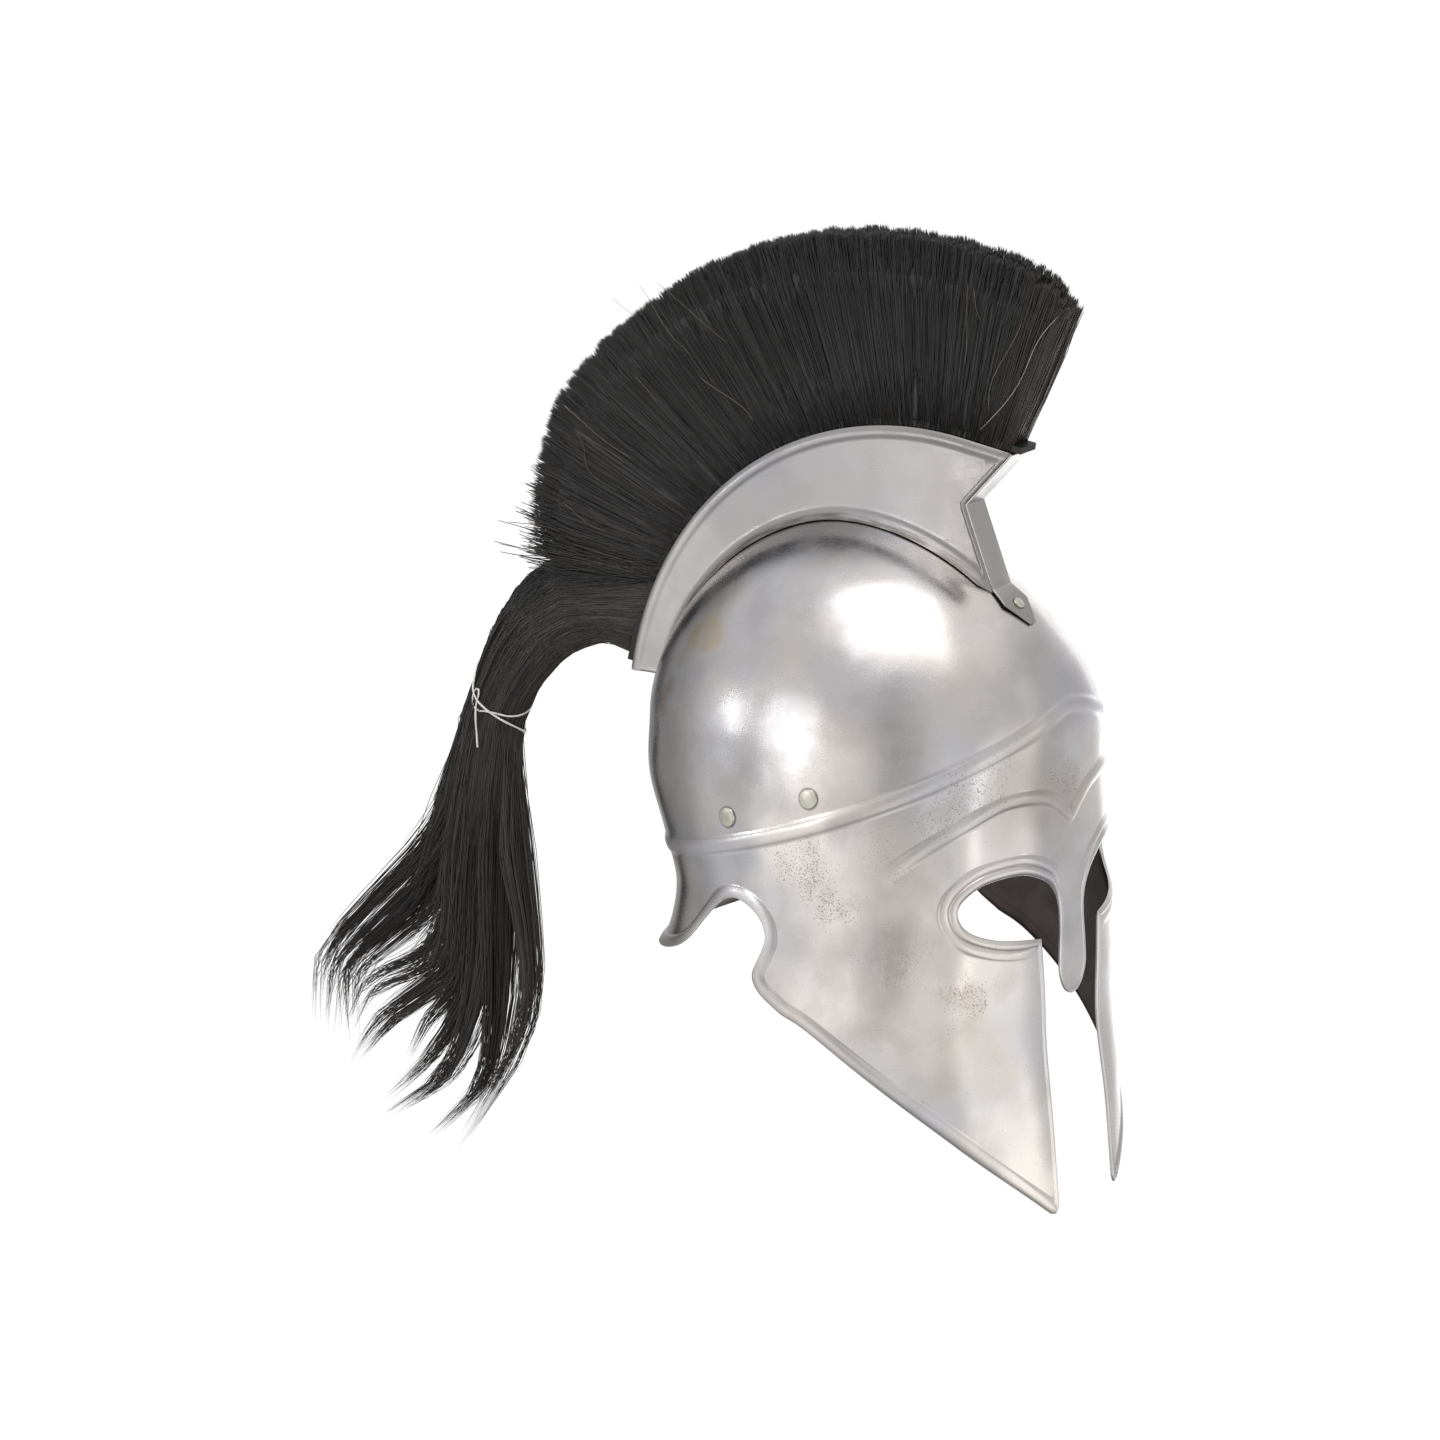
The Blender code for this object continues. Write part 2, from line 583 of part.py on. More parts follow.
def make_shell():
    """Skull, nasal, cheek plates and neck guard as one sheet."""
    lines = shell_lines(EDGE_STEP, EDGE_BEND)
    dome_count = round(180.0 / DOME_TURN)
    dome_turns = [float(pattern_row(i * DOME_TURN)) for i in range(dome_count + 1)]
    points, triangles = shell_pattern(lines, FIELD_STEP, np.array([-1.0, 0.0, 1.0]), dome_turns)
    rises = relief(points, lines)

    keys, flat, faces = {}, [], []

    def corner(u, height, side, rise):
        middle = u < 1e-3 or u > HALF_GIRTH - 1e-3
        key = (round(u, 2), round(height, 2), 0 if middle else side)
        if key not in keys:
            keys[key] = len(flat)
            flat.append((side * float(pattern_turn(u)), height, rise))
        return keys[key]

    for side in (1, -1):
        for triangle in triangles:
            ids = [corner(*points[i], side, rises[i]) for i in triangle]
            faces.append(tuple(ids[::side]))
    # rings of the dome, evenly spaced by their slope
    start = ((DOME_EDGE - BROW_LEVEL) / (CROWN - BROW_LEVEL)) ** DOME_FULLNESS
    slopes = np.linspace(math.asin(math.sqrt(start)), math.pi / 2, DOME_RINGS + 1)
    levels = BROW_LEVEL + (CROWN - BROW_LEVEL) * np.sin(slopes) ** (2.0 / DOME_FULLNESS)
    levels[0] = DOME_EDGE
    crown = len(flat)
    flat.append((0.0, CROWN, 0.0))
    for side in (1, -1):
        for lower, upper in zip(levels[:-2], levels[1:-1]):
            for a, b in zip(dome_turns, dome_turns[1:]):
                quad = [corner(a, lower, side, 0.0), corner(b, lower, side, 0.0),
                        corner(b, upper, side, 0.0), corner(a, upper, side, 0.0)]
                faces.append(tuple(quad[::side]))
        for a, b in zip(dome_turns, dome_turns[1:]):
            tip = [corner(a, levels[-2], side, 0.0), corner(b, levels[-2], side, 0.0), crown]
            faces.append(tuple(tip[::side]))

    flat = np.array(flat)
    base = shell_surface(flat[:, 0], flat[:, 1])
    normal = shell_normal(flat[:, 0], flat[:, 1])
    base[crown] = (0.0, 0.0, CROWN)
    normal[crown] = (0.0, 0.0, 1.0)
    outer = base + normal * flat[:, 2:3]
    inner = outer - normal * WALL
    return sheet_object("helmet_shell", faces, outer, inner, *STEEL)


def turned_solid(name, profile, centre, normal, finish):
    """A closed turned solid. The profile lists radius and height from bottom to top."""
    work = bmesh.new()
    rings = []
    for radius, height in profile:
        ring = []
        for i in range(RIVET_SIDES):
            angle = 2.0 * math.pi * i / RIVET_SIDES
            ring.append(work.verts.new((radius * math.cos(angle), radius * math.sin(angle), height)))
        rings.append(ring)
    for low, high in zip(rings, rings[1:]):
        for i in range(RIVET_SIDES):
            j = (i + 1) % RIVET_SIDES
            work.faces.new([low[i], low[j], high[j], high[i]])
    work.faces.new(list(reversed(rings[0])))
    work.faces.new(rings[-1])
    turn = Vector(normal).to_track_quat("Z", "Y").to_matrix().to_4x4()
    work.transform(Matrix.Scale(MM, 4) @ Matrix.Translation(Vector(centre)) @ turn)
    mesh = bpy.data.meshes.new(name)
    work.to_mesh(mesh)
    work.free()
    return place(name, mesh, *finish)


def fasten(name, sheets, centre, normal, head, shank, grip):
    """A rivet whose head sits on a centre, whose shank passes down through the sheets."""
    for sheet in sheets:
        cutter_name = f"hole_for_{name}_in_{sheet.name}"
        reach = grip + 4.0
        profile = [(shank + SEAT, -reach), (shank + SEAT, reach)]
        cutter = turned_solid(cutter_name, profile, centre, normal, STEEL)
        cutter.hide_render = True
        cutter.display_type = "WIRE"
        hole = sheet.modifiers.new("rivet hole", "BOOLEAN")
        hole.operation = "DIFFERENCE"
        hole.solver = "EXACT"
        hole.object = cutter
    head_rise = 0.28 * head
    clinch = shank * 1.6
    under = grip + SEAT + RIVET_SAG
    profile = [
        (clinch, -under - 1.0),
        (clinch, -under),
        (shank, -under),
        (shank, SEAT),
        (head, SEAT),
        (head * 0.9, SEAT + 0.55 * head_rise),
        (head * 0.5, SEAT + head_rise),
    ]
    return turned_solid(name, profile, centre, normal, RIVET)


def make_skull_rivets(shell):
    """Two rivets on each side of the skull, through the sheet."""
    for side, hand in ((-1, "right"), (1, "left")):
        for spot, (turn, height) in SKULL_RIVETS.items():
            angle = np.array(side * math.radians(turn))
            centre = shell_surface(angle, height)
            normal = shell_normal(angle, np.array(height))
            fasten(f"skull_rivet_{hand}_{spot}", [shell], centre, normal, RIVET_HEAD, RIVET_SHANK, WALL)


def stands_outside(x, y, z):
    """Whether a point is outside the plain skull, for arrays of points."""
    turn = np.arctan2(x, -y)
    skin = shell_surface(turn, np.minimum(z, CROWN - 0.01))
    reach = np.hypot(skin[..., 0], skin[..., 1])
    return (z > CROWN) | (np.hypot(x, y) > reach)


def skull_reach(sweep, x):
    """Distance from SWEEP_CENTRE to the skull along rays in the plane of that x."""
    low = np.full_like(sweep, SWEEP_REACHES[0])
    high = np.full_like(sweep, SWEEP_REACHES[1])
    for _ in range(40):
        middle = 0.5 * (low + high)
        y = SWEEP_CENTRE[0] + middle * np.sin(sweep)
        z = SWEEP_CENTRE[1] + middle * np.cos(sweep)
        out = stands_outside(np.full_like(sweep, x), y, z)
        high = np.where(out, middle, high)
        low = np.where(out, low, middle)
    return 0.5 * (low + high)


def box_foot(x, clearance, count=90):
    """The line where the box meets the skull, from front to rear."""
    sweep = np.radians(np.linspace(*SWEEP_TURNS, count))
    reach = skull_reach(sweep, x) + clearance
    line = np.stack([SWEEP_CENTRE[0] + reach * np.sin(sweep),
                     SWEEP_CENTRE[1] + reach * np.cos(sweep)], axis=-1)
    keep = (line[:, 0] >= BOX_FRONT_FOOT) & ((line[:, 1] >= BOX_REAR_FOOT_HEIGHT) | (line[:, 0] < 0))
    return line[keep]


def box_top(distance):
    """Point of the box's top edge in its plane and the outward direction there."""
    turn = math.radians(BOX_STRAIGHT_TURN)
    out = np.array([math.sin(turn), math.cos(turn)])
    along = np.array([math.cos(turn), -math.sin(turn)])
    if distance < BOX_FRONT_RUN:
        join = np.array(BOX_CENTRE) + BOX_RADIUS * out
        return join - along * (BOX_FRONT_RUN - distance), out
    turn += (distance - BOX_FRONT_RUN) / BOX_RADIUS
    out = np.array([math.sin(turn), math.cos(turn)])
    return np.array(BOX_CENTRE) + BOX_RADIUS * out, out


def box_length():
    return BOX_FRONT_RUN + BOX_RADIUS * math.radians(BOX_REAR_TURN - BOX_STRAIGHT_TURN)


def box_side_lines(step):
    """Foot, rear, top and front of a side plate, each with border width and rise columns."""
    def bordered(points, width, rise):
        points = np.asarray(points, float)
        return np.column_stack([points, np.full(len(points), width), np.full(len(points), rise)])

    foot = bordered(box_foot(BOX_HALF + LIP_REACH, LIP_SEAT), 0.0, 0.0)
    count = 60
    top = [box_top(box_length() * (1.0 - i / count))[0] for i in range(count + 1)]
    rear_foot = foot[-1, :2]
    front_foot = foot[0, :2]
    return {
        "foot": thin_out(foot, step, EDGE_BEND),
        "rear": bordered([rear_foot, top[0]], BOX_END_BORDER, BOX_END_RISE),
        "top": thin_out(bordered(top, BOX_BORDER, BOX_BORDER_RISE), step, EDGE_BEND),
        "front": bordered([top[-1], BOX_NOTCH, front_foot], BOX_END_BORDER, BOX_END_RISE),
    }


def side_relief(points, lines):
    """How far a side plate's outer face stands out from its flat middle."""
    stand = np.zeros(len(points))
    for name in ("top", "front", "rear"):
        distance, values = nearest(points, lines[name])
        across = np.clip(distance / values[:, 0], 0.0, 1.0)
        stand = np.maximum(stand, values[:, 1] * 4.0 * across * (1.0 - across))
    flare = np.clip(1.0 - nearest(points, lines["foot"])[0] / LIP_DROP, 0.0, 1.0)
    return stand + LIP_REACH * flare * smoothstep(nearest(points, lines["front"])[0] / LIP_END)


def side_pattern(lines, step):
    """Flat triangles of a side plate, with edges along its border and its bend."""
    outline = np.vstack([lines[k][:-1, :2] for k in ("foot", "rear", "top", "front")])
    closed = np.vstack([outline, outline[:1]])
    strings = []
    for name, distances in (("top", (BOX_BORDER / 2, BOX_BORDER)), ("foot", (LIP_DROP,))):
        line = lines[name]
        for distance in distances:
            points = line[:, :2] + line_normals(line) * distance
            clear = nearest(points, closed)[0] > 0.96 * distance
            strings.append([tuple(p) if ok else None for p, ok in zip(points, clear)])
    field = field_points((-100.0, -95.0), (140.0, 50.0), step * 1.3)
    keep = nearest(field, closed)[0] > BOX_BORDER + 0.45 * step
    points, triangles = triangulate(outline, strings, field[keep])
    return points, triangles


def make_box_sides():
    """The two side plates of the crest box."""
    lines = box_side_lines(BOX_STEP)
    points, triangles = side_pattern(lines, BOX_STEP)
    stand = side_relief(points, lines)
    for side, hand in ((-1, "right"), (1, "left")):
        outer = np.column_stack([side * (BOX_HALF + stand), points])
        inner = np.column_stack([side * (BOX_HALF + stand - PLATE), points])
        sheet_object(f"crest_side_{hand}", triangles, outer, inner, *STEEL)


def unit(vector):
    return vector / np.linalg.norm(vector)


def sweep_point(sweep, reach):
    return np.array(SWEEP_CENTRE) + reach * np.array([math.sin(sweep), math.cos(sweep)])


def skull_clearance(point):
    """How far a point of the plane of symmetry stands off the skull, along its ray."""
    arm = point - np.array(SWEEP_CENTRE)
    sweep = np.array([math.atan2(arm[0], arm[1])])
    return float(np.linalg.norm(arm) - skull_reach(sweep, 0.01)[0])


def strap_run():
    """The strap's inner line in the plane of symmetry, with its half widths."""
    front_foot = box_side_lines(BOX_STEP)["foot"][0, :2]
    top, notch = box_top(0.0)[0], np.array(BOX_NOTCH)
    upper, lower = unit(notch - top), unit(front_foot - notch)
    upper_out, lower_out = np.array([upper[1], -upper[0]]), np.array([lower[1], -lower[0]])
    bend = upper_out + lower_out
    bend = notch + SEAT * bend / (bend @ lower_out)
    # the lower leg runs down until it is near the skull
    low, high = 0.0, np.linalg.norm(front_foot - notch) + 2.0
    for _ in range(30):
        middle = 0.5 * (low + high)
        if skull_clearance(bend + lower * middle) > STRAP_SEAT:
            low = middle
        else:
            high = middle
    foot = bend + lower * low
    rows = [(*(top + SEAT * upper_out), STRAP_HALF), (*bend, STRAP_HALF), (*foot, STRAP_FOOT_HALF)]
    arm = foot - np.array(SWEEP_CENTRE)
    start = math.atan2(arm[0], arm[1])
    sweeps = np.linspace(start, start - math.radians(STRAP_SWEEP), 120)
    reach = skull_reach(sweeps, 0.01) + STRAP_SEAT
    skin = np.array([sweep_point(s, r) for s, r in zip(sweeps, reach)])
    marks = list(np.linspace(foot[1], STRAP_SHOULDER_HEIGHT, STRAP_STATIONS - 1)[1:])
    widths = list(np.linspace(STRAP_FOOT_HALF, STRAP_SHOULDER_HALF, STRAP_STATIONS - 1)[1:])
    marks += list(np.linspace(STRAP_SHOULDER_HEIGHT, STRAP_TIP_HEIGHT, 3)[1:])
    widths += list(np.linspace(STRAP_SHOULDER_HALF, STRAP_TIP_HALF, 3)[1:])
    for height, width in zip(marks, widths):
        rows.append((np.interp(-height, -skin[:, 1], skin[:, 0]), height, width))
    return np.array(rows)


def ribbon(name, rows, thickness, finish):
    """A bent strip across the plane of symmetry, thickened to the left of its run."""
    line = rows[:, :2]
    outer_line = line - line_normals(rows) * thickness
    mesh = bpy.data.meshes.new(name)
    work = bmesh.new()
    loops = []
    for inner, outer, half in zip(line, outer_line, rows[:, 2]):
        corners = [(-half, *inner), (half, *inner), (half, *outer), (-half, *outer)]
        loops.append([work.verts.new(Vector(c) * MM) for c in corners])
    for a, b in zip(loops, loops[1:]):
        for i in range(4):
            j = (i + 1) % 4
            work.faces.new([a[i], a[j], b[j], b[i]])
    work.faces.new(list(reversed(loops[0])))
    work.faces.new(loops[-1])
    bmesh.ops.recalc_face_normals(work, faces=work.faces)
    work.to_mesh(mesh)
    work.free()
    return place(name, mesh, *finish)


def make_strap(shell):
    """The front strap, and the rivet that holds its tab to the skull."""
    rows = strap_run()
    strap = ribbon("crest_front_strap", rows, PLATE, STEEL)
    y = float(np.interp(-TAB_RIVET_HEIGHT, -rows[2:, 1], rows[2:, 0]))
    normal = shell_normal(np.array(0.0), np.array(TAB_RIVET_HEIGHT))
    centre = np.array([0.0, y, TAB_RIVET_HEIGHT]) + normal * PLATE
    grip = PLATE + STRAP_SEAT + WALL
    fasten("crest_tab_rivet", [shell, strap], centre, normal, TAB_RIVET_HEAD, TAB_RIVET_SHANK, grip)


def make_rear_strip():
    """The strip that closes the box behind, between the plates' rear ends."""
    rear = box_side_lines(BOX_STEP)["rear"][:, :2]
    along = unit(rear[1] - rear[0])
    lift = np.array([-along[1], along[0]]) * REAR_STRIP_LIFT
    rows = [(*(rear[0] + lift + along * d), REAR_STRIP_HALF) for d in (REAR_STRIP_START, REAR_STRIP_END)]
    ribbon("crest_rear_plate", np.array(rows), -PLATE, STEEL)


def prism(name, outline, half, finish):
    """A flat outline of the plane of symmetry with a thickness both ways."""
    mesh = bpy.data.meshes.new(name)
    work = bmesh.new()
    near = [work.verts.new(Vector((-half, *p)) * MM) for p in outline]
    far = [work.verts.new(Vector((half, *p)) * MM) for p in outline]
    work.faces.new(near)
    work.faces.new(list(reversed(far)))
    for i in range(len(outline)):
        j = (i + 1) % len(outline)
        work.faces.new([near[i], far[i], far[j], near[j]])
    bmesh.ops.triangulate(work, faces=work.faces)
    bmesh.ops.recalc_face_normals(work, faces=work.faces)
    work.to_mesh(mesh)
    work.free()
    return place(name, mesh, *finish)


def along_box(distance, rise):
    point, out = box_top(distance)
    return point + out * rise


def make_block():
    """The block that holds the hair, sunk between the plates and proud of them."""
    end = box_length() - BLOCK_REAR
    lower = [along_box(d, -BLOCK_DEPTH) for d in np.linspace(BLOCK_SLOPE, end, 13)]
    upper = [along_box(d, BLOCK_PROUD) for d in np.linspace(-BLOCK_FRONT, end, 14)]
    lip = [along_box(-BLOCK_FRONT, BLOCK_LIP), along_box(BLOCK_NECK, BLOCK_LIP)]
    prism("plume_base", lower + upper[::-1] + lip, BLOCK_HALF, BLOCK)


def grid_solid(name, near, far, finish, sharp):
    """A closed solid between two grids of points of the same shape."""
    mesh = bpy.data.meshes.new(name)
    work = bmesh.new()
    rows, columns = near.shape[:2]
    grids = []
    for points in (near, far):
        grids.append([[work.verts.new(Vector(points[i, j]) * MM) for j in range(columns)]
                      for i in range(rows)])
    a, b = grids
    for i in range(rows - 1):
        for j in range(columns - 1):
            work.faces.new([a[i][j], a[i][j + 1], a[i + 1][j + 1], a[i + 1][j]])
            work.faces.new([b[i][j], b[i + 1][j], b[i + 1][j + 1], b[i][j + 1]])
    for i in range(rows - 1):
        work.faces.new([a[i][0], a[i + 1][0], b[i + 1][0], b[i][0]])
        work.faces.new([a[i][-1], b[i][-1], b[i + 1][-1], a[i + 1][-1]])
    for j in range(columns - 1):
        work.faces.new([a[0][j], b[0][j], b[0][j + 1], a[0][j + 1]])
        work.faces.new([a[-1][j], a[-1][j + 1], b[-1][j + 1], b[-1][j]])
    bmesh.ops.recalc_face_normals(work, faces=work.faces)
    work.to_mesh(mesh)
    work.free()
    return place(name, mesh, *finish, sharp)


def make_brush():
    """The trimmed upright hair, in locks that widen to their tips."""
    columns = 2 * BRUSH_LOCKS + 1
    near = np.zeros((BRUSH_ROWS + 1, columns, 3))
    for j in range(columns):
        share = j / (columns - 1)
        root = along_box(BRUSH_ROOT_START + (BRUSH_ROOT_END - BRUSH_ROOT_START) * share, BLOCK_PROUD + SEAT)
        turn = math.radians(np.interp(share, (0.0, 1.0), BRUSH_TIP_TURNS))
        radius = BRUSH_RADIUS - BRUSH_FRONT_ROUND * (1.0 - smoothstep(share / BRUSH_FRONT_SHARE))
        radius -= BRUSH_REAR_ROUND * max(0.0, 1.0 - (1.0 - share) / BRUSH_REAR_SHARE) ** 1.5
        tip_half = np.interp(share, (0.0, 2.0 * BRUSH_FRONT_SHARE), (BRUSH_FRONT_HALF, BRUSH_TIP_HALF))
        ridge = j % 2
        radius -= 0.0 if ridge else LOCK_RAGGED
        tip = np.array(BRUSH_CENTRE) + radius * np.array([math.sin(turn), math.cos(turn)])
        for i in range(BRUSH_ROWS + 1):
            up = i / BRUSH_ROWS
            half = BRUSH_ROOT_HALF + (tip_half - BRUSH_ROOT_HALF) * up**BRUSH_SPREAD
            half += LOCK_RIDGE * up * (1.0 if ridge else -1.0)
            if i == BRUSH_ROWS:
                half *= BRUSH_TRIM
            near[i, j] = (-half, *(root + (tip - root) * up))
    far = near * np.array([-1.0, 1.0, 1.0])
    grid_solid("plume_brush", near, far, HAIR, 30.0)


def tube_mesh(name, centres, radii_in, radii_across, sides):
    """A closed tube whose centres lie near the plane of symmetry, with oval sections."""
    centres = np.asarray(centres, float)
    normals = line_normals(centres[:, 1:])
    mesh = bpy.data.meshes.new(name)
    work = bmesh.new()
    rings = []
    for centre, normal, inside, across in zip(centres, normals, radii_in, radii_across):
        normal = unit(normal)
        ring = []
        for k in range(sides):
            angle = 2.0 * math.pi * k / sides
            offset = np.array([across * math.sin(angle), *(normal * inside * math.cos(angle))])
            ring.append(work.verts.new(Vector(centre + offset) * MM))
        rings.append(ring)
    for a, b in zip(rings, rings[1:]):
        for k in range(sides):
            m = (k + 1) % sides
            work.faces.new([a[k], a[m], b[m], b[k]])
    work.faces.new(list(reversed(rings[0])))
    work.faces.new(rings[-1])
    bmesh.ops.recalc_face_normals(work, faces=work.faces)
    work.to_mesh(mesh)
    work.free()
    return mesh


def lock_run(share, index):
    """Centres and radii of one lock of the tail, from the stem to its tip."""
    places = []
    for first, last in (LOCK_ROOTS, LOCK_WAISTS, LOCK_BENDS, LOCK_TIPS):
        places.append(np.array(first) + (np.array(last) - np.array(first)) * share)
    places[3] = places[3] - np.array([0.0, LOCK_TIP_SAG * math.sin(math.pi * share)])
    lean = LOCK_LEAN * (index % 3 - 1)
    rows = [(p[0], p[1], x, r) for p, x, r in zip(places, (0.0, 0.5 * lean, lean, 0.6 * lean), LOCK_RADII)]
    run = smooth_run(rows)[::9]
    return np.column_stack([run[:, 2], run[:, 0], run[:, 1]]), run[:, 3]


def make_tail():
    """The long hair behind: a bound stem with curved locks fused to it."""
    stem = np.array(TAIL_STEM)
    centres = np.column_stack([np.zeros(len(stem)), stem[:, :2]])
    mesh = tube_mesh("plume_tail", centres, stem[:, 2], stem[:, 3], STEM_SIDES)
    tail = place("plume_tail", mesh, *HAIR, 40.0)
    for i in range(TAIL_LOCKS):
        share = i / (TAIL_LOCKS - 1)
        centres, radii = lock_run(share, i)
        lock_mesh = tube_mesh(f"tail_lock_{i}", centres, radii, radii, LOCK_SIDES)
        lock = place(f"tail_lock_{i}", lock_mesh, *HAIR, 40.0)
        lock.hide_render = True
        lock.display_type = "WIRE"
        join = tail.modifiers.new("lock", "BOOLEAN")
        join.operation = "UNION"
        join.solver = "EXACT"
        join.object = lock


def make_string():
    """The string that binds the tail, with one loop and a loose end."""
    stem = np.array(TAIL_STEM)
    normals = line_normals(stem[:, :2])
    legs = np.linalg.norm(np.diff(stem[:, :2], axis=0), axis=1)
    stations = np.concatenate([[0.0], np.cumsum(legs)])
    route = smooth_run(np.array(STRING_ROUTE))
    middle = stations[STRING_STATION]
    points = []
    for turn, along, lift in route:
        angle = math.radians(turn)
        at = middle + along
        y, z, inside, across, n_y, n_z = [np.interp(at, stations, column)
                                          for column in np.column_stack([stem, normals]).T]
        normal = unit(np.array([n_y, n_z]))
        off = STRING_GAP + STRING_RADIUS + lift
        x = -(across + off) * math.cos(angle)
        y += (inside + off) * math.sin(angle) * normal[0]
        z += (inside + off) * math.sin(angle) * normal[1]
        points.append((x, y, z))
    points = np.array(points)
    travelled = np.concatenate([[0.0], np.cumsum(np.linalg.norm(np.diff(points, axis=0), axis=1))])
    count = round(travelled[-1] / STRING_STEP)
    wanted = np.linspace(0.0, travelled[-1], count + 1)
    curve = bpy.data.curves.new("tail_string", "CURVE")
    curve.dimensions = "3D"
    curve.bevel_depth = STRING_RADIUS * MM
    curve.bevel_resolution = 1
    curve.use_fill_caps = True
    spline = curve.splines.new("POLY")
    spline.points.add(count)
    for i, at in enumerate(wanted):
        place_at = [np.interp(at, travelled, points[:, c]) * MM for c in range(3)]
        spline.points[i].co = (*place_at, 1.0)
    thing = bpy.data.objects.new("tail_string", curve)
    bpy.context.scene.collection.objects.link(thing)
    finish = bpy.data.materials.new("tail_string")
    finish.use_nodes = True
    shader = finish.node_tree.nodes["Principled BSDF"]
    shader.inputs["Base Color"].default_value = (*STRING[0], 1.0)
    shader.inputs["Roughness"].default_value = STRING[2]
    curve.materials.append(finish)


def main():
    for thing in list(bpy.data.objects):
        bpy.data.objects.remove(thing, do_unlink=True)
    shell = make_shell()
    make_skull_rivets(shell)
    make_box_sides()
    make_strap(shell)
    make_rear_strip()
    make_block()
    make_brush()
    make_tail()
    make_string()


main()
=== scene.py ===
"""Looks of a polished steel helmet of the Corinthian kind with a horsehair crest.

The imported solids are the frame. The steel sheet, the crest box and the rivets are built again
with fine surfaces from the same sizes, the hair is laid strand by strand over a dark core, and
the string is spun anew. Sizes are in millimetres and become metres when a mesh is made. The
face looks along -Y, the wearer's right is -X, and the origin is the inside of the crown.
"""

import math

import bpy
import numpy as np
from mathutils import Matrix, Vector
from mathutils.geometry import delaunay_2d_cdt


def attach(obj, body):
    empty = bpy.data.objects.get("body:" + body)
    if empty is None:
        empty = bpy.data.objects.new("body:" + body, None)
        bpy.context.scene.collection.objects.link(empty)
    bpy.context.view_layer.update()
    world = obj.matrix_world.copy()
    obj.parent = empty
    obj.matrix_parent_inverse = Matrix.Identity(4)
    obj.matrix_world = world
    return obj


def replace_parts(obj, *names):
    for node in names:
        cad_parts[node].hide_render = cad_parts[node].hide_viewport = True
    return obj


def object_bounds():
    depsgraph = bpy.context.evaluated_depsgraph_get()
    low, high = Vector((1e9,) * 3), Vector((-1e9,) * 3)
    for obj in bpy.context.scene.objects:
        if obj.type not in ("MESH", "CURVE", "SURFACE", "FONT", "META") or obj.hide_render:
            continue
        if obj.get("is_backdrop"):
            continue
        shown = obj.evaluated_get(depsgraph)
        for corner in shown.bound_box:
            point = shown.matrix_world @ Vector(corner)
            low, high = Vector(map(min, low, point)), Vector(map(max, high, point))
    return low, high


MM = 0.001
SEAT = 0.3                 # clearance where two pieces touch

# The raised sheet
WALL = 1.2                 # 18 gauge steel
CROWN = WALL               # outside of the crown, so that its inside is at height 0
BROW_LEVEL = -100.0        # below this height the sections stop closing to the crown
DOME_FULLNESS = 1.8        # exponent of the curve from the brow level to the crown
BACK_SQUARENESS = 2.1      # exponent of a section's back half
CROWN_SQUARENESS = 2.06    # of its front half near the crown
FACE_SQUARENESS = 2.58     # and of its front half in the face
FACE_START = -40.0         # from this height down to FACE_FULL it changes to that
FACE_FULL = -120.0
WIDEST_LEVEL = -190.0      # the pattern is laid out on the section at this height
DOME_EDGE = -62.0          # the plain dome ends here and the worked lower part begins

# Horizontal sections of the sheet: height, half width, reach to the front, reach to the back
SECTIONS = np.array([
    (0.0, 83.0, 124.5, 112.0),
    (-100.0, 89.5, 122.0, 115.0),
    (-130.0, 93.5, 120.0, 116.0),
    (-160.0, 95.5, 119.5, 106.0),
    (-185.0, 97.5, 119.0, 98.5),
    (-205.0, 102.5, 118.7, 101.5),
    (-225.0, 105.5, 118.2, 111.5),
    (-250.0, 106.0, 117.2, 119.0),
    (-300.0, 100.5, 120.8, 112.0),
    (-350.0, 92.7, 123.2, 110.0),
])

# The free edge of one half, in smooth runs that meet at corners. Columns: turn from the front
# in degrees, height, width of the rolled border, its rise, how far its outer side stays up as
# a turned lip, and the rise of a second roll beside it.
NASAL_AND_EYE = (
    (0.0, -236.0, 2.5, 0.3, 0.0, 0.0),
    (3.6, -232.8, 2.5, 0.3, 0.0, 0.0),
    (5.9, -224.0, 2.5, 0.3, 0.0, 0.0),
    (6.0, -214.0, 2.5, 0.3, 0.0, 0.0),
    (5.4, -198.0, 2.5, 0.3, 0.0, 0.0),
    (5.7, -188.0, 3.0, 0.5, 0.0, 0.0),
    (7.4, -179.8, 4.0, 0.9, 0.0, 0.3),
    (11.1, -172.4, 4.6, 1.2, 0.0, 0.8),
    (19.0, -165.9, 4.6, 1.2, 0.0, 0.9),
    (28.4, -166.6, 4.6, 1.2, 0.0, 0.9),
    (34.6, -173.2, 4.6, 1.2, 0.0, 0.9),
    (36.6, -181.0, 4.6, 1.2, 0.0, 0.9),
    (34.4, -190.0, 4.6, 1.2, 0.0, 0.9),
    (28.0, -196.2, 4.6, 1.2, 0.0, 0.8),
    (20.5, -199.4, 4.6, 1.0, 0.0, 0.5),
    (13.4, -201.6, 3.0, 0.7, 0.0, 0.0),
)
CHEEK_FRONT = (
    (13.4, -201.6, 3.0, 0.7, 0.0, 0.0),
    (12.3, -245.0, 2.8, 0.6, 0.0, 0.0),
    (12.5, -297.0, 2.8, 0.6, 0.0, 0.0),
    (12.4, -340.0, 2.8, 0.6, 0.0, 0.0),
)
CHEEK_TIP = (
    (12.4, -340.0, 2.8, 0.6, 0.0, 0.0),
    (13.4, -343.6, 4.0, 0.8, 0.0, 0.0),
    (15.2, -343.0, 6.0, 1.1, 0.0, 0.0),
)
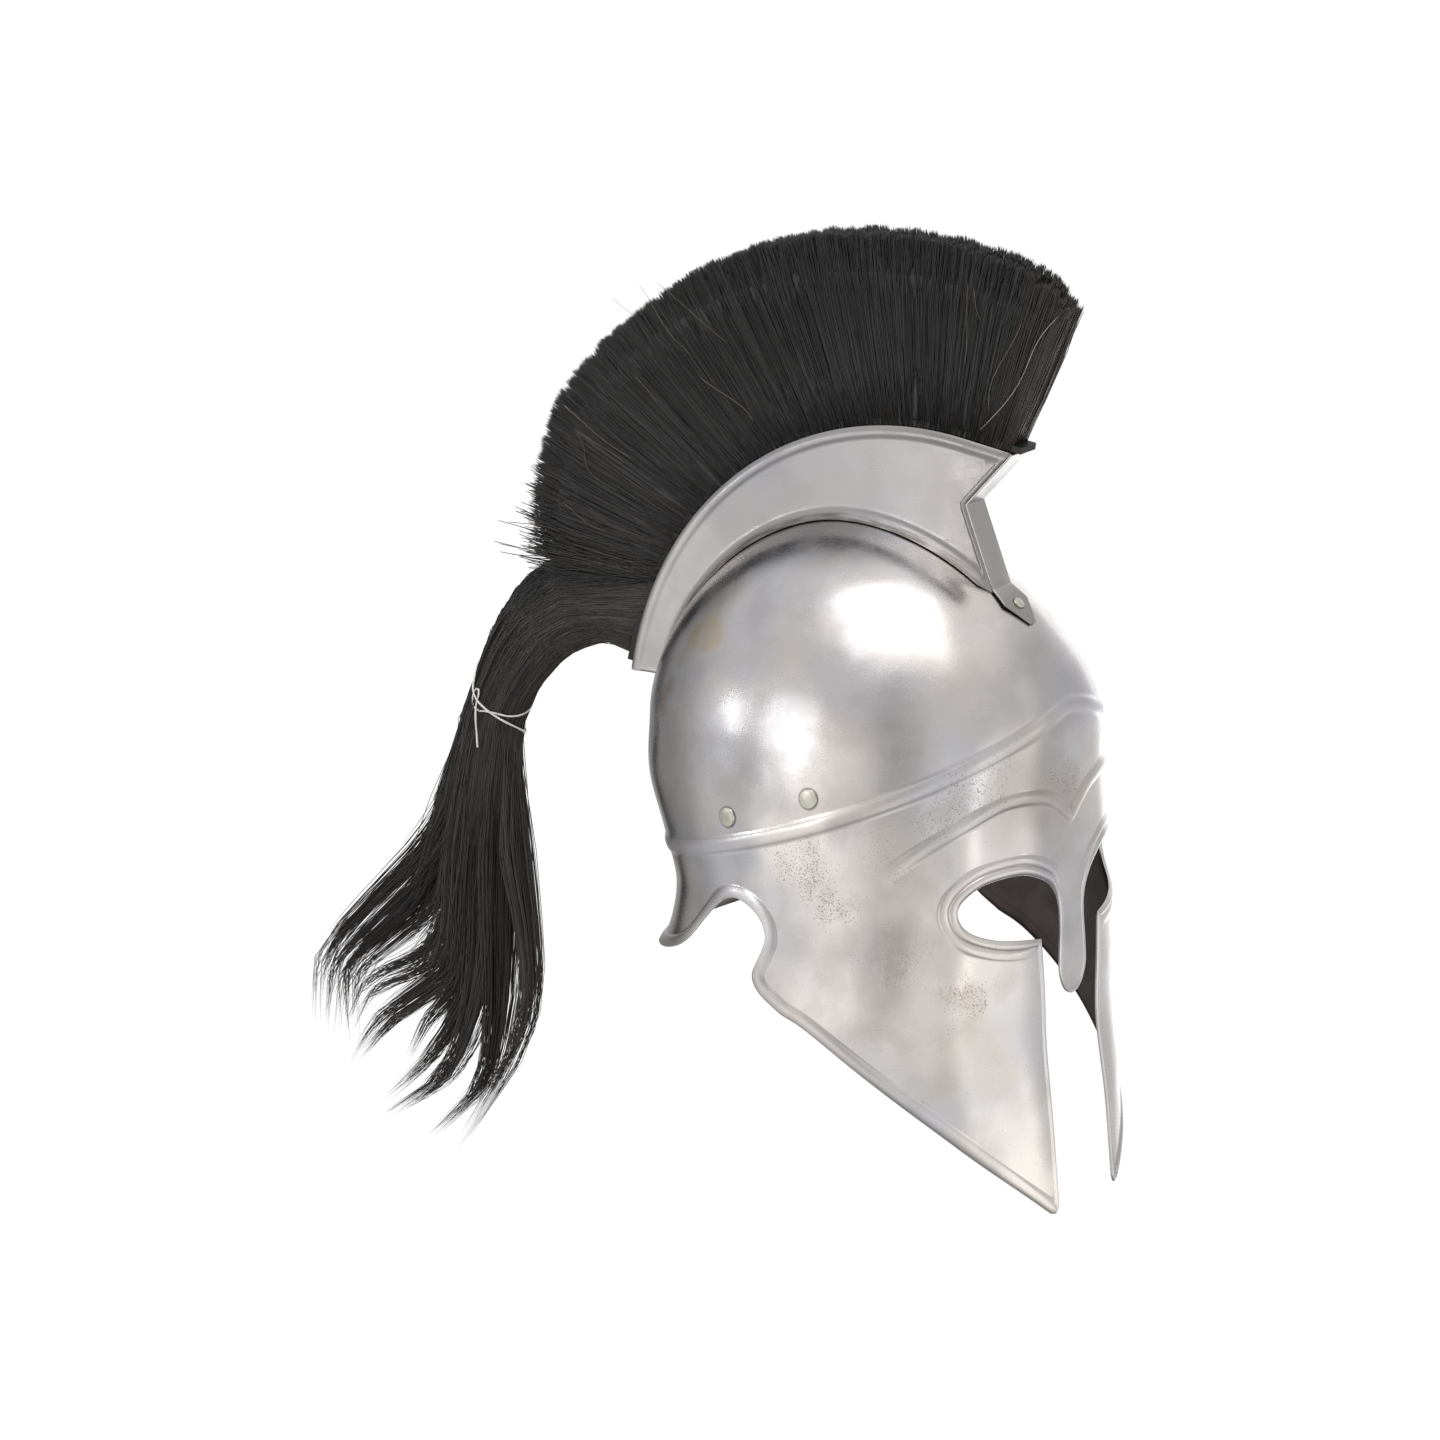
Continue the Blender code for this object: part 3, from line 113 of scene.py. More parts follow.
CHEEK_BELOW = (
    (15.2, -343.0, 6.0, 1.1, 0.0, 0.0),
    (32.9, -311.5, 7.0, 1.2, 0.1, 0.0),
    (48.2, -283.6, 7.0, 1.2, 0.1, 0.0),
    (73.6, -243.0, 7.0, 1.2, 0.1, 0.0),
    (84.5, -231.6, 7.0, 1.2, 0.2, 0.0),
)
EAR_AND_NECK = (
    (84.5, -231.6, 7.0, 1.2, 0.2, 0.0),
    (91.0, -222.4, 6.5, 1.3, 0.4, 0.0),
    (93.0, -214.0, 6.2, 1.5, 0.7, 0.0),
    (90.6, -204.0, 6.0, 1.6, 1.0, 0.0),
    (89.3, -196.0, 6.0, 1.6, 1.0, 0.0),
    (91.0, -188.2, 6.0, 1.6, 1.0, 0.0),
    (95.2, -181.4, 6.0, 1.6, 1.0, 0.0),
    (101.0, -177.8, 6.0, 1.6, 1.0, 0.0),
    (107.0, -180.4, 6.0, 1.6, 1.0, 0.0),
    (113.5, -191.0, 6.0, 1.6, 1.0, 0.0),
    (121.0, -204.5, 6.0, 1.6, 1.0, 0.0),
    (130.0, -212.5, 6.0, 1.6, 1.0, 0.0),
    (144.0, -218.0, 6.0, 1.6, 1.0, 0.0),
    (162.0, -221.5, 6.0, 1.6, 1.0, 0.0),
    (180.0, -222.5, 6.0, 1.6, 1.0, 0.0),
)
SECOND_ROLL_WIDTH = 5.2
SECOND_ROLL_LEAST = 0.25   # a lower second roll is too faint to be drawn

# The raised band that runs round the skull, and one brow. Columns: turn, height, rise.
RIDGE = (
    (0.0, -87.0, 1.3),
    (6.0, -89.3, 1.3),
    (14.0, -94.6, 1.3),
    (30.0, -106.2, 1.3),
    (48.7, -120.9, 1.3),
    (74.0, -137.4, 1.3),
    (102.5, -150.5, 1.3),
    (134.0, -161.8, 1.3),
    (160.0, -167.5, 1.3),
    (180.0, -169.0, 1.3),
)
RIDGE_WIDTH = 9.0
BROW = (
    (0.0, -144.5, 1.2),
    (4.6, -137.2, 1.2),
    (9.0, -131.6, 1.2),
    (13.8, -128.9, 1.2),
    (19.5, -127.6, 1.2),
    (26.0, -129.4, 1.2),
    (37.0, -139.5, 1.1),
    (46.0, -150.0, 0.8),
    (52.8, -159.6, 0.1),
)
BROW_WIDTH = 7.5

# How finely the surfaces are drawn here
SHEET_STEP = 3.2           # triangles of the plain sheet
RUN_POINTS = 24            # points of a smooth run between two rows of its table
CLEAR_SHARE = 0.96         # a parallel line ends where it comes nearer than this share
BORDER_CLEAR_SHARE = 0.94
CENTRE_GAP = 0.6           # rolls keep this far from the centre line but for their own end
EDGE_STEP = 2.8            # points along an edge, and degrees that it turns between them
EDGE_BEND = 7.0
ROLL_SHARES = np.array((-1.7, -1.3, -1.0, -0.75, -0.5, -0.25, 0.0, 0.25, 0.5, 0.75, 1.0, 1.3, 1.7))
BORDER_SHARES = (0.08, 0.2, 0.35, 0.5, 0.65, 0.8, 0.92, 1.0, 1.15, 1.4)
SECOND_SHARES = (0.12, 0.3, 0.5, 0.7, 0.88, 1.0, 1.2, 1.5)
DOME_TURN = 2.0            # degrees between the dome's meridians
DOME_RINGS = 34
RIM_ROUND = 0.35           # how far a sheet's rounded rim stands out
RIM_TURNS = (45.0, 90.0, 135.0)
PLATE_STEP = 2.6           # of the crest box, along its borders
BOX_FIELD_STEP = 1.3 * PLATE_STEP      # and within them
BOX_FIELD = ((-100.0, -95.0), (140.0, 50.0))     # a rectangle that holds a side plate
PLATE_SHARES = (0.1, 0.25, 0.4, 0.55, 0.7, 0.85, 1.0, 1.2, 1.45)
ROLL_SOFTNESS = 0.85       # exponent that gives the rolls flatter backs and crisp feet
RIVET_SIDES = 40

# Rivets: turn and height on the skull, radii of head and shank
SKULL_RIVETS = {"front": (75.0, -123.5), "rear": (104.6, -137.6)}
RIVET_HEAD = 5.0
RIVET_SHANK = 2.0
TAB_RIVET_HEIGHT = -38.8
TAB_RIVET_HEAD = 3.1
TAB_RIVET_SHANK = 1.5
RIVET_CROWN = 0.22         # how far a rivet's head is crowned, as a share of its radius
TAB_RIVET_CROWN = 0.5
RIVET_SAG = 0.4            # clearance under a rivet's clinched end
CLINCH_SPREAD = 1.6        # radius of that end as a share of the shank's
CLINCH_CORNER = 0.8        # its edge is bevelled to this share, and starts at this depth
CLINCH_EDGE = 0.7
CLINCH_DEPTH = 1.0
HEAD_SEAT = 0.05           # how far the head lies off the sheet
# A rivet's head from its edge to its middle, as shares of its radius and of its crown.
RIVET_CURVE = (
    (1.0, 0.35),
    (0.97, 0.58),
    (0.91, 0.74),
    (0.85, 0.78),
    (0.80, 0.74),
    (0.74, 0.82),
    (0.5, 0.94),
    (0.15, 1.0),
)

# The crest box, in the plane of symmetry (y, z)
PLATE = 1.0                # thickness of its sheet
BOX_HALF = 8.5             # half of its width outside
BOX_CENTRE = (-33.7, -125.3)
BOX_RADIUS = 174.3         # of its top edge, which runs on straight at the front
BOX_FRONT_RUN = 29.0
BOX_STRAIGHT_TURN = -11.85
BOX_REAR_TURN = 78.2
BOX_NOTCH = (-70.0, 12.0)
BOX_FRONT_FOOT = -86.3     # y where its foot begins
BOX_REAR_FOOT_HEIGHT = -91.5
BOX_BORDER = 6.2
BOX_BORDER_RISE = 1.1
BOX_END_BORDER = 2.5       # narrower along the front and the rear
BOX_END_RISE = 0.5
LIP_DROP = 6.5             # height of the flared foot above the skull
LIP_REACH = 4.5            # how far it flares
LIP_END = 4.0              # over this length the flare dies away at the front
LIP_CURVE = 1.8            # exponent that hollows the flare
LIP_SEAT = 0.9

SWEEP_CENTRE = (-8.0, -103.0)   # the foot is worked out along rays from here
SWEEP_REACHES = (40.0, 170.0)
SWEEP_TURNS = (-60.0, 86.0)

# The strap that closes the box in front and is riveted to the skull. Half widths at the top
# and the notch, at the foot, at the tab's shoulder and at its tip.
STRAP_HALF = 8.5
STRAP_FOOT_HALF = 8.6
STRAP_SHOULDER_HALF = 10.6
STRAP_TIP_HALF = 2.4
STRAP_SHOULDER_HEIGHT = -37.6
STRAP_TIP_HEIGHT = -48.0
STRAP_STATIONS = 12        # along the tab
STRAP_SEAT = 0.45          # how far its inside lies off the skull
STRAP_SWEEP = 26.0         # degrees about SWEEP_CENTRE that are enough for the tab

# The strip between the plates' rear ends
REAR_STRIP_HALF = 7.2
REAR_STRIP_START = 3.0
REAR_STRIP_END = 15.0
REAR_STRIP_LIFT = 0.8      # above the plates' rear edges

# The horsehair brush
BLOCK_PROUD = 4.2          # how far the block that holds the hair stands out of the box
BRUSH_CENTRE = (-22.5, -115.5)
BRUSH_RADIUS = 261.0
BRUSH_ROOT_START = 1.0     # along the box's top edge
BRUSH_ROOT_END = 253.0
BRUSH_TIP_TURNS = (-26.0, 68.6)
BRUSH_FRONT_ROUND = 5.0    # how much shorter the front and rear hair are
BRUSH_REAR_ROUND = 28.0
BRUSH_REAR_CURVE = 1.5
BRUSH_FRONT_SHARE = 0.05   # over how much of the brush
BRUSH_REAR_SHARE = 0.22
BRUSH_FRONT_HALF = 9.5     # half width of the tips at the front end
BRUSH_ROOT_HALF = 7.3      # the outermost hair rises between the plate and the block
BRUSH_TIP_HALF = 12.5
BRUSH_SPREAD = 0.8         # exponent of the widening from root to tip
BRUSH_TRIM = 0.8           # the tips are trimmed rounder than the hair below them
BRUSH_CLUMPS = 130         # small pointed clumps that the trimmed tips gather in
BRUSH_PULL = 0.72          # how far a hair's tip is drawn to the middle of its clump
CLUMP_BLUR = 0.3           # how far hairs cross into the next clump
CLUMP_SHORTNESS = 1.6      # spread of the clumps' shortness and of their lean
CLUMP_LEAN = 0.6
HAIR_SHORTNESS = 2.0       # how much shorter a hair is than its clump at most
BRUSH_STRAYS = 0.03        # share of the hairs that stray
BRUSH_STRAY_SPREAD = 4.0   # and how many times further they go
LOOSE_START = 0.86         # from this place to the rear end the hair stands loose
LOOSE_OVER = 5.0           # spread of its hairs over the trimmed line, under it and backward
LOOSE_SHORT = 14.0
LOOSE_SWAY = 6.0
CALM_FRONT = 0.05          # up to this place no hair strays, and hairs bow less
CALM_BOW = 0.35
BRUSH_BOW = 1.8            # spread of the hairs' bows, and more of it for stray hairs
STRAY_BOW = 0.4
OUTER_DEPTH = 0.85         # outside this share of the width the hair rises beside the block
TRIM_START = 0.86          # from this height the brush is trimmed narrower
FRONT_FACE = 0.02          # the front face: how deep, and which share of all hairs it takes
FRONT_HAIRS = 0.05
FRONT_SHORTNESS = 3.0      # spread of their shortness
DEPTH_BIAS = 0.6           # exponent that brings more hairs to the outside
BRUSH_HAIRS = 7600         # on each side
BRUSH_PLACES = (0.0, 0.33, 0.68, 0.975, 1.0)   # along a hair, whose cut end is blunt
BRUSH_RADII = (0.27, 0.27, 0.25, 0.22)         # a drawn hair stands for a few real ones
TIP_LIFT = 3.0             # how far the longest hairs stand over the trimmed line
LIFT_RISE = 0.07           # which comes in over this share of the brush
LIFT_FADE = 0.35           # and from this place fades over as long again
CORE_INSET = 9.0           # how deep the dark core lies under the tips
CORE_ENDS = 0.016          # how far it stays from the brush's two ends
CORE_SHARE = 0.86          # and how much narrower it is
CORE_COLUMNS = 97
CORE_ROWS = 8
CORE_SHOULDER = 0.9        # above this share of its height its sides draw in
CORE_DRAW = 0.4            # by this much
CORE_NOSE = 0.55           # width of its two ends, which widen at a slope
CORE_NOSE_SLOPE = 9.0

# Tones of hairs, from 0, black, to 1, pale. Columns: the darkest, and how much lighter.
BRUSH_TONE = (0.08, 0.34)
STEM_TONE = (0.16, 0.5)
LOCK_TONE = (0.2, 0.38)
FRONT_TONE = 0.26          # how much lighter the brush is at its very front
FRONT_TONE_REACH = 0.09
REAR_TONE = 0.10           # and how much toward the rear
REAR_TONE_START = 0.6
FLYAWAY_TONE = 0.93
PALEST_TONE = 1.0
STEM_SHADE = 0.45          # how much darker the tail is toward the helmet

# Radii of one drawn hair of the tail, which stands for a few real ones, at its root and near
# its tip
HAIR_ROOT = 0.26
HAIR_TIP = 0.10

# The tail's bound part. Columns: y, z, half width in its plane, half width across.
TAIL_STEM = np.array([
    (135.2, -65.5, 17.5, 6.8),
    (157.8, -57.5, 20.0, 8.5),
    (184.0, -61.5, 24.5, 11.0),
    (207.5, -80.0, 20.5, 12.5),
    (229.0, -114.0, 16.0, 13.0),
    (237.0, -137.0, 18.5, 14.0),
    (245.0, -165.0, 23.0, 14.0),
    (253.0, -190.0, 26.0, 12.0),
    (259.0, -208.0, 12.0, 6.0),
])
STEM_HAIRS = 2300
STEM_SECTIONS = 9          # along a hair
STEM_BOX = (236.0, 298.0)  # where along the box its outer and inner hair comes out
STEM_SKIN = 0.1            # how deep the hairs lie, as a share of the radius
STEM_WANDER = (0.25, 0.5)  # spread of a hair across the tail and in its plane
STEM_FULL = 0.5            # share of the hairs that run the whole length
STEM_SHORTEST = 0.6        # length of the shortest of the others
STEM_SHADE_START = -0.1    # from here to its inner side it darkens
STEM_CORE = 0.9            # width of the dark core as a share of the bound hair
STEM_CORE_SIDES = 24
STEM_CORE_RINGS = 60

# The locks that fan out under the string, from the outermost to the one nearest the helmet.
# Each runs through five places. Columns: y, z and half width in the plane.
TAIL_LOCKS = (
    ((259.0, -177.0, 8.0), (285.0, -210.0, 9.0), (322.0, -243.0, 8.0),
     (353.0, -275.0, 6.5), (360.0, -319.0, 5.0)),
    ((262.0, -186.0, 8.0), (284.0, -230.0, 7.5), (317.0, -258.0, 6.5),
     (347.0, -284.0, 5.5), (349.0, -326.0, 4.0)),
    ((256.0, -190.0, 8.0), (272.0, -246.0, 6.0), (296.0, -269.0, 6.0),
     (328.0, -283.0, 4.5), (347.0, -314.0, 3.0)),
    ((252.0, -196.0, 8.0), (264.0, -258.0, 6.5), (288.0, -281.0, 5.5),
     (320.0, -303.0, 4.5), (346.0, -336.0, 2.0)),
    ((248.0, -200.0, 7.0), (258.0, -262.0, 6.0), (272.0, -283.0, 4.5),
     (292.0, -301.0, 3.5), (312.0, -330.0, 1.5)),
    ((245.0, -200.0, 7.0), (254.0, -262.0, 6.0), (267.0, -288.0, 4.0),
     (290.0, -319.0, 3.0), (327.0, -352.0, 1.5)),
    ((241.0, -200.0, 7.0), (249.0, -262.0, 6.0), (262.0, -303.0, 4.0),
     (282.0, -333.0, 3.0), (325.0, -361.0, 1.5)),
    ((236.0, -200.0, 7.0), (241.0, -262.0, 6.0), (247.0, -300.0, 4.0),
     (260.0, -335.0, 2.5), (303.0, -373.0, 1.2)),
    ((225.0, -190.0, 6.0), (220.0, -238.0, 4.0), (220.0, -276.0, 3.6),
     (234.0, -315.0, 3.0), (282.0, -379.0, 1.5)),
)
LOCK_HAIRS = (620, 520, 380, 480, 420, 440, 440, 560, 460)
LOCK_WISPS = (34, 30, 24, 26, 22, 22, 22, 24, 20)
LOCK_SECTIONS = 11         # along a hair
LOCK_DEPTH = 11.0          # half width across the fan where it opens
LOCK_END_DEPTH = 4.0
LOCK_LEAN = 6.0            # the locks lie a little to one side or the other
LOCK_TIP = 0.18            # radius of the longest hairs near their tips
OUTER_LOCKS = 4            # the rest are the inner ones
LOCK_WIDEN = 1.2           # the wisps fill a lock to a little beyond its half width
WISP_LOSS = 0.50           # how much sooner the shortest wisps end
WISP_ROOT = 2.4            # spread of a wisp's hairs where it starts and at its tip
WISP_TIP = 0.45
WISP_REACH = 1.6           # how many times its spread a hair goes at most
STRAY_SHARE = 0.15         # of the hairs in a lock, which wander further from their wisp
STRAY_SPREAD = 2.4
WISP_DEPTHS = 0.55         # spread of the wisps across the fan
WISP_LOSS_BIAS = 1.3       # exponent that keeps most wisps long
WISP_WAVE = 1.2            # how far a wisp waves
WISP_WAVES = 5.0           # radians of wave along it
WISP_GATHER = 0.8          # exponent of its drawing together
SLICE_REACH = 0.88         # the locks' slices of the bound hair lie between these ends
SLICE_SPREAD = 0.13        # half width of a slice
SLICE_BLUR = 0.05
LOCK_DIVE = 0.7            # how far in the hairs of a lock begin
HAIR_LOSS = 0.30           # how much sooner the shortest hairs of a wisp end
LONE_HAIRS = 0.08          # share of the hairs that go on by themselves
LONE_SHORTEST = 0.75

# Single pale hairs across the brush's right side. Columns: place along it at the root end and
# at the tip end, then from what height to what height, and how far they bow.
FOUND_FLYAWAYS = (
    (0.074, 0.006, 0.08, 0.93, -6.0),
    (0.066, 0.050, 0.20, 0.75, 3.0),
    (0.80, 0.80, 0.45, 0.92, 2.0),
    (0.57, 0.61, 0.18, 0.52, -3.0),
)
FLYAWAYS = 22              # fainter ones strewn about, between these places, heights and lengths
FLYAWAY_REGION = (0.09, 0.95)
FLYAWAY_STARTS = (0.2, 0.75)
FLYAWAY_LENGTHS = (0.15, 0.5)
FLYAWAY_LEAN = 0.03
FLYAWAY_BOW = 3.0
FLYAWAY_PLACES = 12
FLYAWAY_RADIUS = 0.13
FOUND_RADIUS = 0.21
FLYAWAY_GAP = 0.6          # how far their middle stands off the brush

# The string round the tail
STRING_RADIUS = 0.7
STRING_FINE = 0.5          # radius that it is drawn with between the swells of its twist
STRING_LAY = 0.12          # how much the twist swells it
STRING_TWIST = 2.4         # radians of twist per mm
STRING_STATION = 4         # the narrowest section of the stem, counted from 0
STRING_GAP = 0.5           # between it and the bound hair
STRING_STEP = 3.2          # between its points
# Its route from its loose end. Columns: turn round the stem in degrees from the wearer's right,
# distance along the stem from its narrowest section, lift off the hair.
STRING_ROUTE = (
    (-9.0, 25.5, 0.6),
    (-3.0, 18.0, 1.2),
    (4.0, 10.4, 2.0),
    (9.0, 4.0, 2.2),
    (13.0, -2.6, 1.6),
    (22.0, -4.2, 0.8),
    (31.0, 0.0, 0.2),
    (25.0, 5.0, 0.0),
    (9.0, 6.7, 0.0),
    (-8.0, 4.6, 0.0),
    (-30.0, 2.9, 0.3),
    (-49.0, 2.3, 0.8),
    (-86.0, 0.0, 0.9),
    (-130.0, -4.0, 0.4),
    (-180.0, -8.0, 0.0),
    (-230.0, -11.0, 0.0),
    (-275.0, -12.0, 0.0),
    (-311.0, -9.4, 1.0),
    (-338.0, -3.2, 3.6),
    (-352.0, 0.0, 3.4),
    (-368.0, 2.4, 2.0),
    (-394.0, 4.6, 1.7),
    (-425.0, 8.0, 0.6),
    (-450.0, 11.5, 0.0),
    (-473.0, 14.8, 0.0),
    (-505.0, 15.5, 0.0),
    (-540.0, 12.0, 0.0),
)


def smoothstep(value):
    """A soft step from 0 to 1."""
    value = np.clip(value, 0.0, 1.0)
    return value * value * (3.0 - 2.0 * value)


def section_value(column, height):
    """Value of a column of SECTIONS at a height, on a smooth curve through the rows."""
    rows = SECTIONS[::-1]
    heights, values = rows[:, 0], rows[:, column]
    slopes = np.gradient(values, heights)
    height = np.clip(height, heights[0], heights[-1])
    i = np.clip(np.searchsorted(heights, height) - 1, 0, len(heights) - 2)
    span = heights[i + 1] - heights[i]
    t = (height - heights[i]) / span
    return ((2 * t**3 - 3 * t**2 + 1) * values[i] + (t**3 - 2 * t**2 + t) * span * slopes[i]
            + (3 * t**2 - 2 * t**3) * values[i + 1] + (t**3 - t**2) * span * slopes[i + 1])


def shell_surface(turn, height):
    """Point of the plain outer surface at a turn (radians, 0 at the face) and a height."""
    turn, height = np.broadcast_arrays(np.asarray(turn, float), np.asarray(height, float))
    half, front, back = (section_value(c, height) for c in (1, 2, 3))
    closing = np.clip((height - BROW_LEVEL) / (CROWN - BROW_LEVEL), 0.0, 1.0)
    closing = (1.0 - closing**DOME_FULLNESS) ** (1.0 / DOME_FULLNESS)
    sine, cosine = np.sin(turn), np.cos(turn)
    face = smoothstep((FACE_START - height) / (FACE_START - FACE_FULL))
    squareness = CROWN_SQUARENESS + (FACE_SQUARENESS - CROWN_SQUARENESS) * face
    squareness = np.where(cosine > 0, squareness, BACK_SQUARENESS)
    reach = np.where(cosine > 0, front, back)
    radius = (np.abs(sine / half) ** squareness + np.abs(cosine / reach) ** squareness)
    radius = closing * radius ** (-1.0 / squareness)
    return np.stack([radius * sine, -radius * cosine, height], axis=-1)


def shell_normal(turn, height):
    """Outward direction of the plain surface, from its slopes both ways."""
    small = 0.004              # radians; the steps in height stay a little under the crown
    low = np.minimum(height - 0.4, CROWN - 0.8)
    across = shell_surface(turn + small, height) - shell_surface(turn - small, height)
    along = shell_surface(turn, np.minimum(height + 0.1, CROWN - 0.05)) - shell_surface(turn, low)
    normal = np.cross(across, along)
    return normal / (np.linalg.norm(normal, axis=-1, keepdims=True) + 1e-12)


def girth_table():
    """Length along the widest section, which is what the sheet's pattern is laid out on."""
    turns = np.radians(np.linspace(0.0, 180.0, 721))
    points = shell_surface(turns, np.full_like(turns, WIDEST_LEVEL))
    steps = np.linalg.norm(np.diff(points, axis=0), axis=1)
    return turns, np.concatenate([[0.0], np.cumsum(steps)])


GIRTH_TURNS, GIRTH_LENGTHS = girth_table()
HALF_GIRTH = GIRTH_LENGTHS[-1]


def pattern_row(turn_degrees):
    """Place on the flat pattern of a turn in degrees."""
    return np.interp(np.radians(turn_degrees), GIRTH_TURNS, GIRTH_LENGTHS)


def pattern_turn(length):
    """Turn in radians of a place on the flat pattern."""
    return np.interp(length, GIRTH_LENGTHS, GIRTH_TURNS)


def on_pattern(rows):
    """Table rows with their turns changed to lengths along the girth."""
    rows = np.array(rows, float)
    rows[:, 0] = pattern_row(rows[:, 0])
    return rows


def smooth_leg(a, b, c, d, t):
    """Places on a smooth curve through four places, on its middle leg from b to c."""
    return 0.5 * (2 * b + (c - a) * t + (2 * a - 5 * b + 4 * c - d) * t**2
                  + (3 * b - a - 3 * c + d) * t**3)


def smooth_run(rows, flat_start=False, flat_end=False):
    """A dense smooth curve through table rows, whose end may meet the centre line square."""
    rows = np.asarray(rows, float)
    first = rows[1] * 1.0 if flat_start else 2 * rows[0] - rows[1]
    last = rows[-2] * 1.0 if flat_end else 2 * rows[-1] - rows[-2]
    if flat_start:
        first[0] = 2 * rows[0, 0] - rows[1, 0]
    if flat_end:
        last[0] = 2 * rows[-1, 0] - rows[-2, 0]
    rows = np.vstack([first, rows, last])
    t = np.linspace(0.0, 1.0, RUN_POINTS, endpoint=False)[:, None]
    run = [smooth_leg(a, b, c, d, t) for a, b, c, d in zip(rows, rows[1:], rows[2:], rows[3:])]
    return np.vstack(run + [rows[-2][None]])


def thin_out(run, step, bend):
    """Points of a dense run, no further apart than a step and no more than a bend apart."""
    legs = np.diff(run[:, :2], axis=0)
    lengths = np.linalg.norm(legs, axis=1)
    angles = np.unwrap(np.arctan2(legs[:, 1], legs[:, 0]))
    turning = np.abs(np.gradient(angles)) if len(angles) > 2 else np.zeros_like(angles)
    cost = np.concatenate([[0.0], np.cumsum(lengths / step + np.degrees(turning) / bend)])
    count = max(1, math.ceil(cost[-1]))
    wanted = np.linspace(0.0, cost[-1], count + 1)
    return np.stack([np.interp(wanted, cost, run[:, c]) for c in range(run.shape[1])], axis=-1)


def line_normals(points):
    """Left-hand normals at a line's points, lengthened at corners so that offsets stay parallel."""
    legs = np.diff(points[:, :2], axis=0)
    legs /= np.linalg.norm(legs, axis=1, keepdims=True) + 1e-12
    before = np.vstack([legs[:1], legs])
    after = np.vstack([legs, legs[-1:]])
    mean = before + after
    mean /= np.linalg.norm(mean, axis=1, keepdims=True) + 1e-12
    cosine = np.clip((mean * after).sum(axis=1, keepdims=True), 0.45, 1.0)
    return np.stack([-mean[:, 1], mean[:, 0]], axis=-1) / cosine


def unit_normals(points):
    """Left-hand directions of length 1 at a line's points."""
    normals = line_normals(points)
    return normals / np.linalg.norm(normals, axis=1, keepdims=True)


def nearest(points, line, batch=2000):
    """Distance from points to a line, with the line's other columns at the nearest place."""
    start, leg = line[:-1, :2], np.diff(line[:, :2], axis=0)
    squares = (leg**2).sum(axis=1) + 1e-12
    distance = np.empty(len(points))
    values = np.empty((len(points), line.shape[1] - 2))
    for low in range(0, len(points), batch):
        part = points[low:low + batch]
        offset = part[:, None, :2] - start[None]
        t = np.clip((offset * leg[None]).sum(axis=2) / squares, 0.0, 1.0)
        gaps = np.linalg.norm(offset - t[..., None] * leg[None], axis=2)
        best = gaps.argmin(axis=1)
        at = np.arange(len(part))
        share = t[at, best][:, None]
        distance[low:low + batch] = gaps[at, best]
        values[low:low + batch] = line[best, 2:] * (1 - share) + line[best + 1, 2:] * share
    return distance, values


def shell_lines(step, bend):
    """The half pattern's free edge, ridge and brow as point lists."""
    runs = [
        smooth_run(on_pattern(NASAL_AND_EYE), flat_start=True),
        smooth_run(on_pattern(CHEEK_FRONT)),
        smooth_run(on_pattern(CHEEK_TIP)),
        smooth_run(on_pattern(CHEEK_BELOW)),
        smooth_run(on_pattern(EAR_AND_NECK), flat_end=True),
    ]
    thin = [thin_out(run, step, bend) for run in runs]
    edge = np.vstack([run[:-1] for run in thin[:-1]] + [thin[-1]])
    ridge = thin_out(smooth_run(on_pattern(RIDGE), flat_start=True, flat_end=True), step, bend)
    brow = thin_out(smooth_run(on_pattern(BROW)), step, bend)
    return edge, ridge, brow


def gapped(points, clear):
    """Points as a string, broken by None where they aren't clear."""
    return [tuple(p) if ok else None for p, ok in zip(points, clear)]


def beside(line, offset, keep_from):
    """Points parallel to a line, without those that a bend has brought too near to another."""
    points = line[:, :2] + line_normals(line) * offset
    return gapped(points, nearest(points, keep_from)[0] > CLEAR_SHARE * abs(offset))


def field_points(low, high, step):
    """An even triangular field over a rectangle."""
    rows = []
    rise = step * 0.866
    for i in range(int((high[1] - low[1]) / rise) + 2):
        shift = 0.5 * step * (i % 2)
        for j in range(int((high[0] - low[0]) / step) + 2):
            rows.append((low[0] + j * step + shift, low[1] + i * rise))
    return np.array(rows)


def triangulate(outline, strings, loose):
    """Triangles inside an outline that keep every string of points as edges."""
    points = [tuple(p) for p in outline]
    face = list(range(len(points)))
    links = []
    for string in strings:
        last = None
        for point in string:
            if point is None:
                last = None
                continue
            points.append(point)
            if last is not None:
                links.append((last, len(points) - 1))
            last = len(points) - 1
    points += [tuple(p) for p in loose]
    flat = [Vector((float(p[0]), float(p[1]))) for p in points]
    verts, _, faces, *_ = delaunay_2d_cdt(flat, links, [face], 1, 1e-4)
    return np.array([tuple(v) for v in verts]), [tuple(f) for f in faces]


def roll(across, softness=ROLL_SOFTNESS):
    """Height of a raised roll from one side, 0, to the other, 1, with soft feet."""
    across = np.clip(across, 0.0, 1.0)
    return (4.0 * across * (1.0 - across)) ** softness


def relief(points, lines):
    """How far the worked borders, ridge and brows stand above the plain surface."""
    edge, ridge, brow = lines
    distance, values = nearest(points, edge)
    width, rise, lip, second = values.T
    across = np.clip(distance / width, 0.0, 1.0)
    turned = (1.0 - across**2) ** ROLL_SOFTNESS
    height = rise * ((1.0 - lip) * roll(across) + lip * turned)
    height += second * roll((distance - width) / SECOND_ROLL_WIDTH)
    for line, band in ((ridge, RIDGE_WIDTH), (brow, BROW_WIDTH)):
        distance, values = nearest(points, line)
        height += values[:, 0] * roll(0.5 + distance / band)
    return height


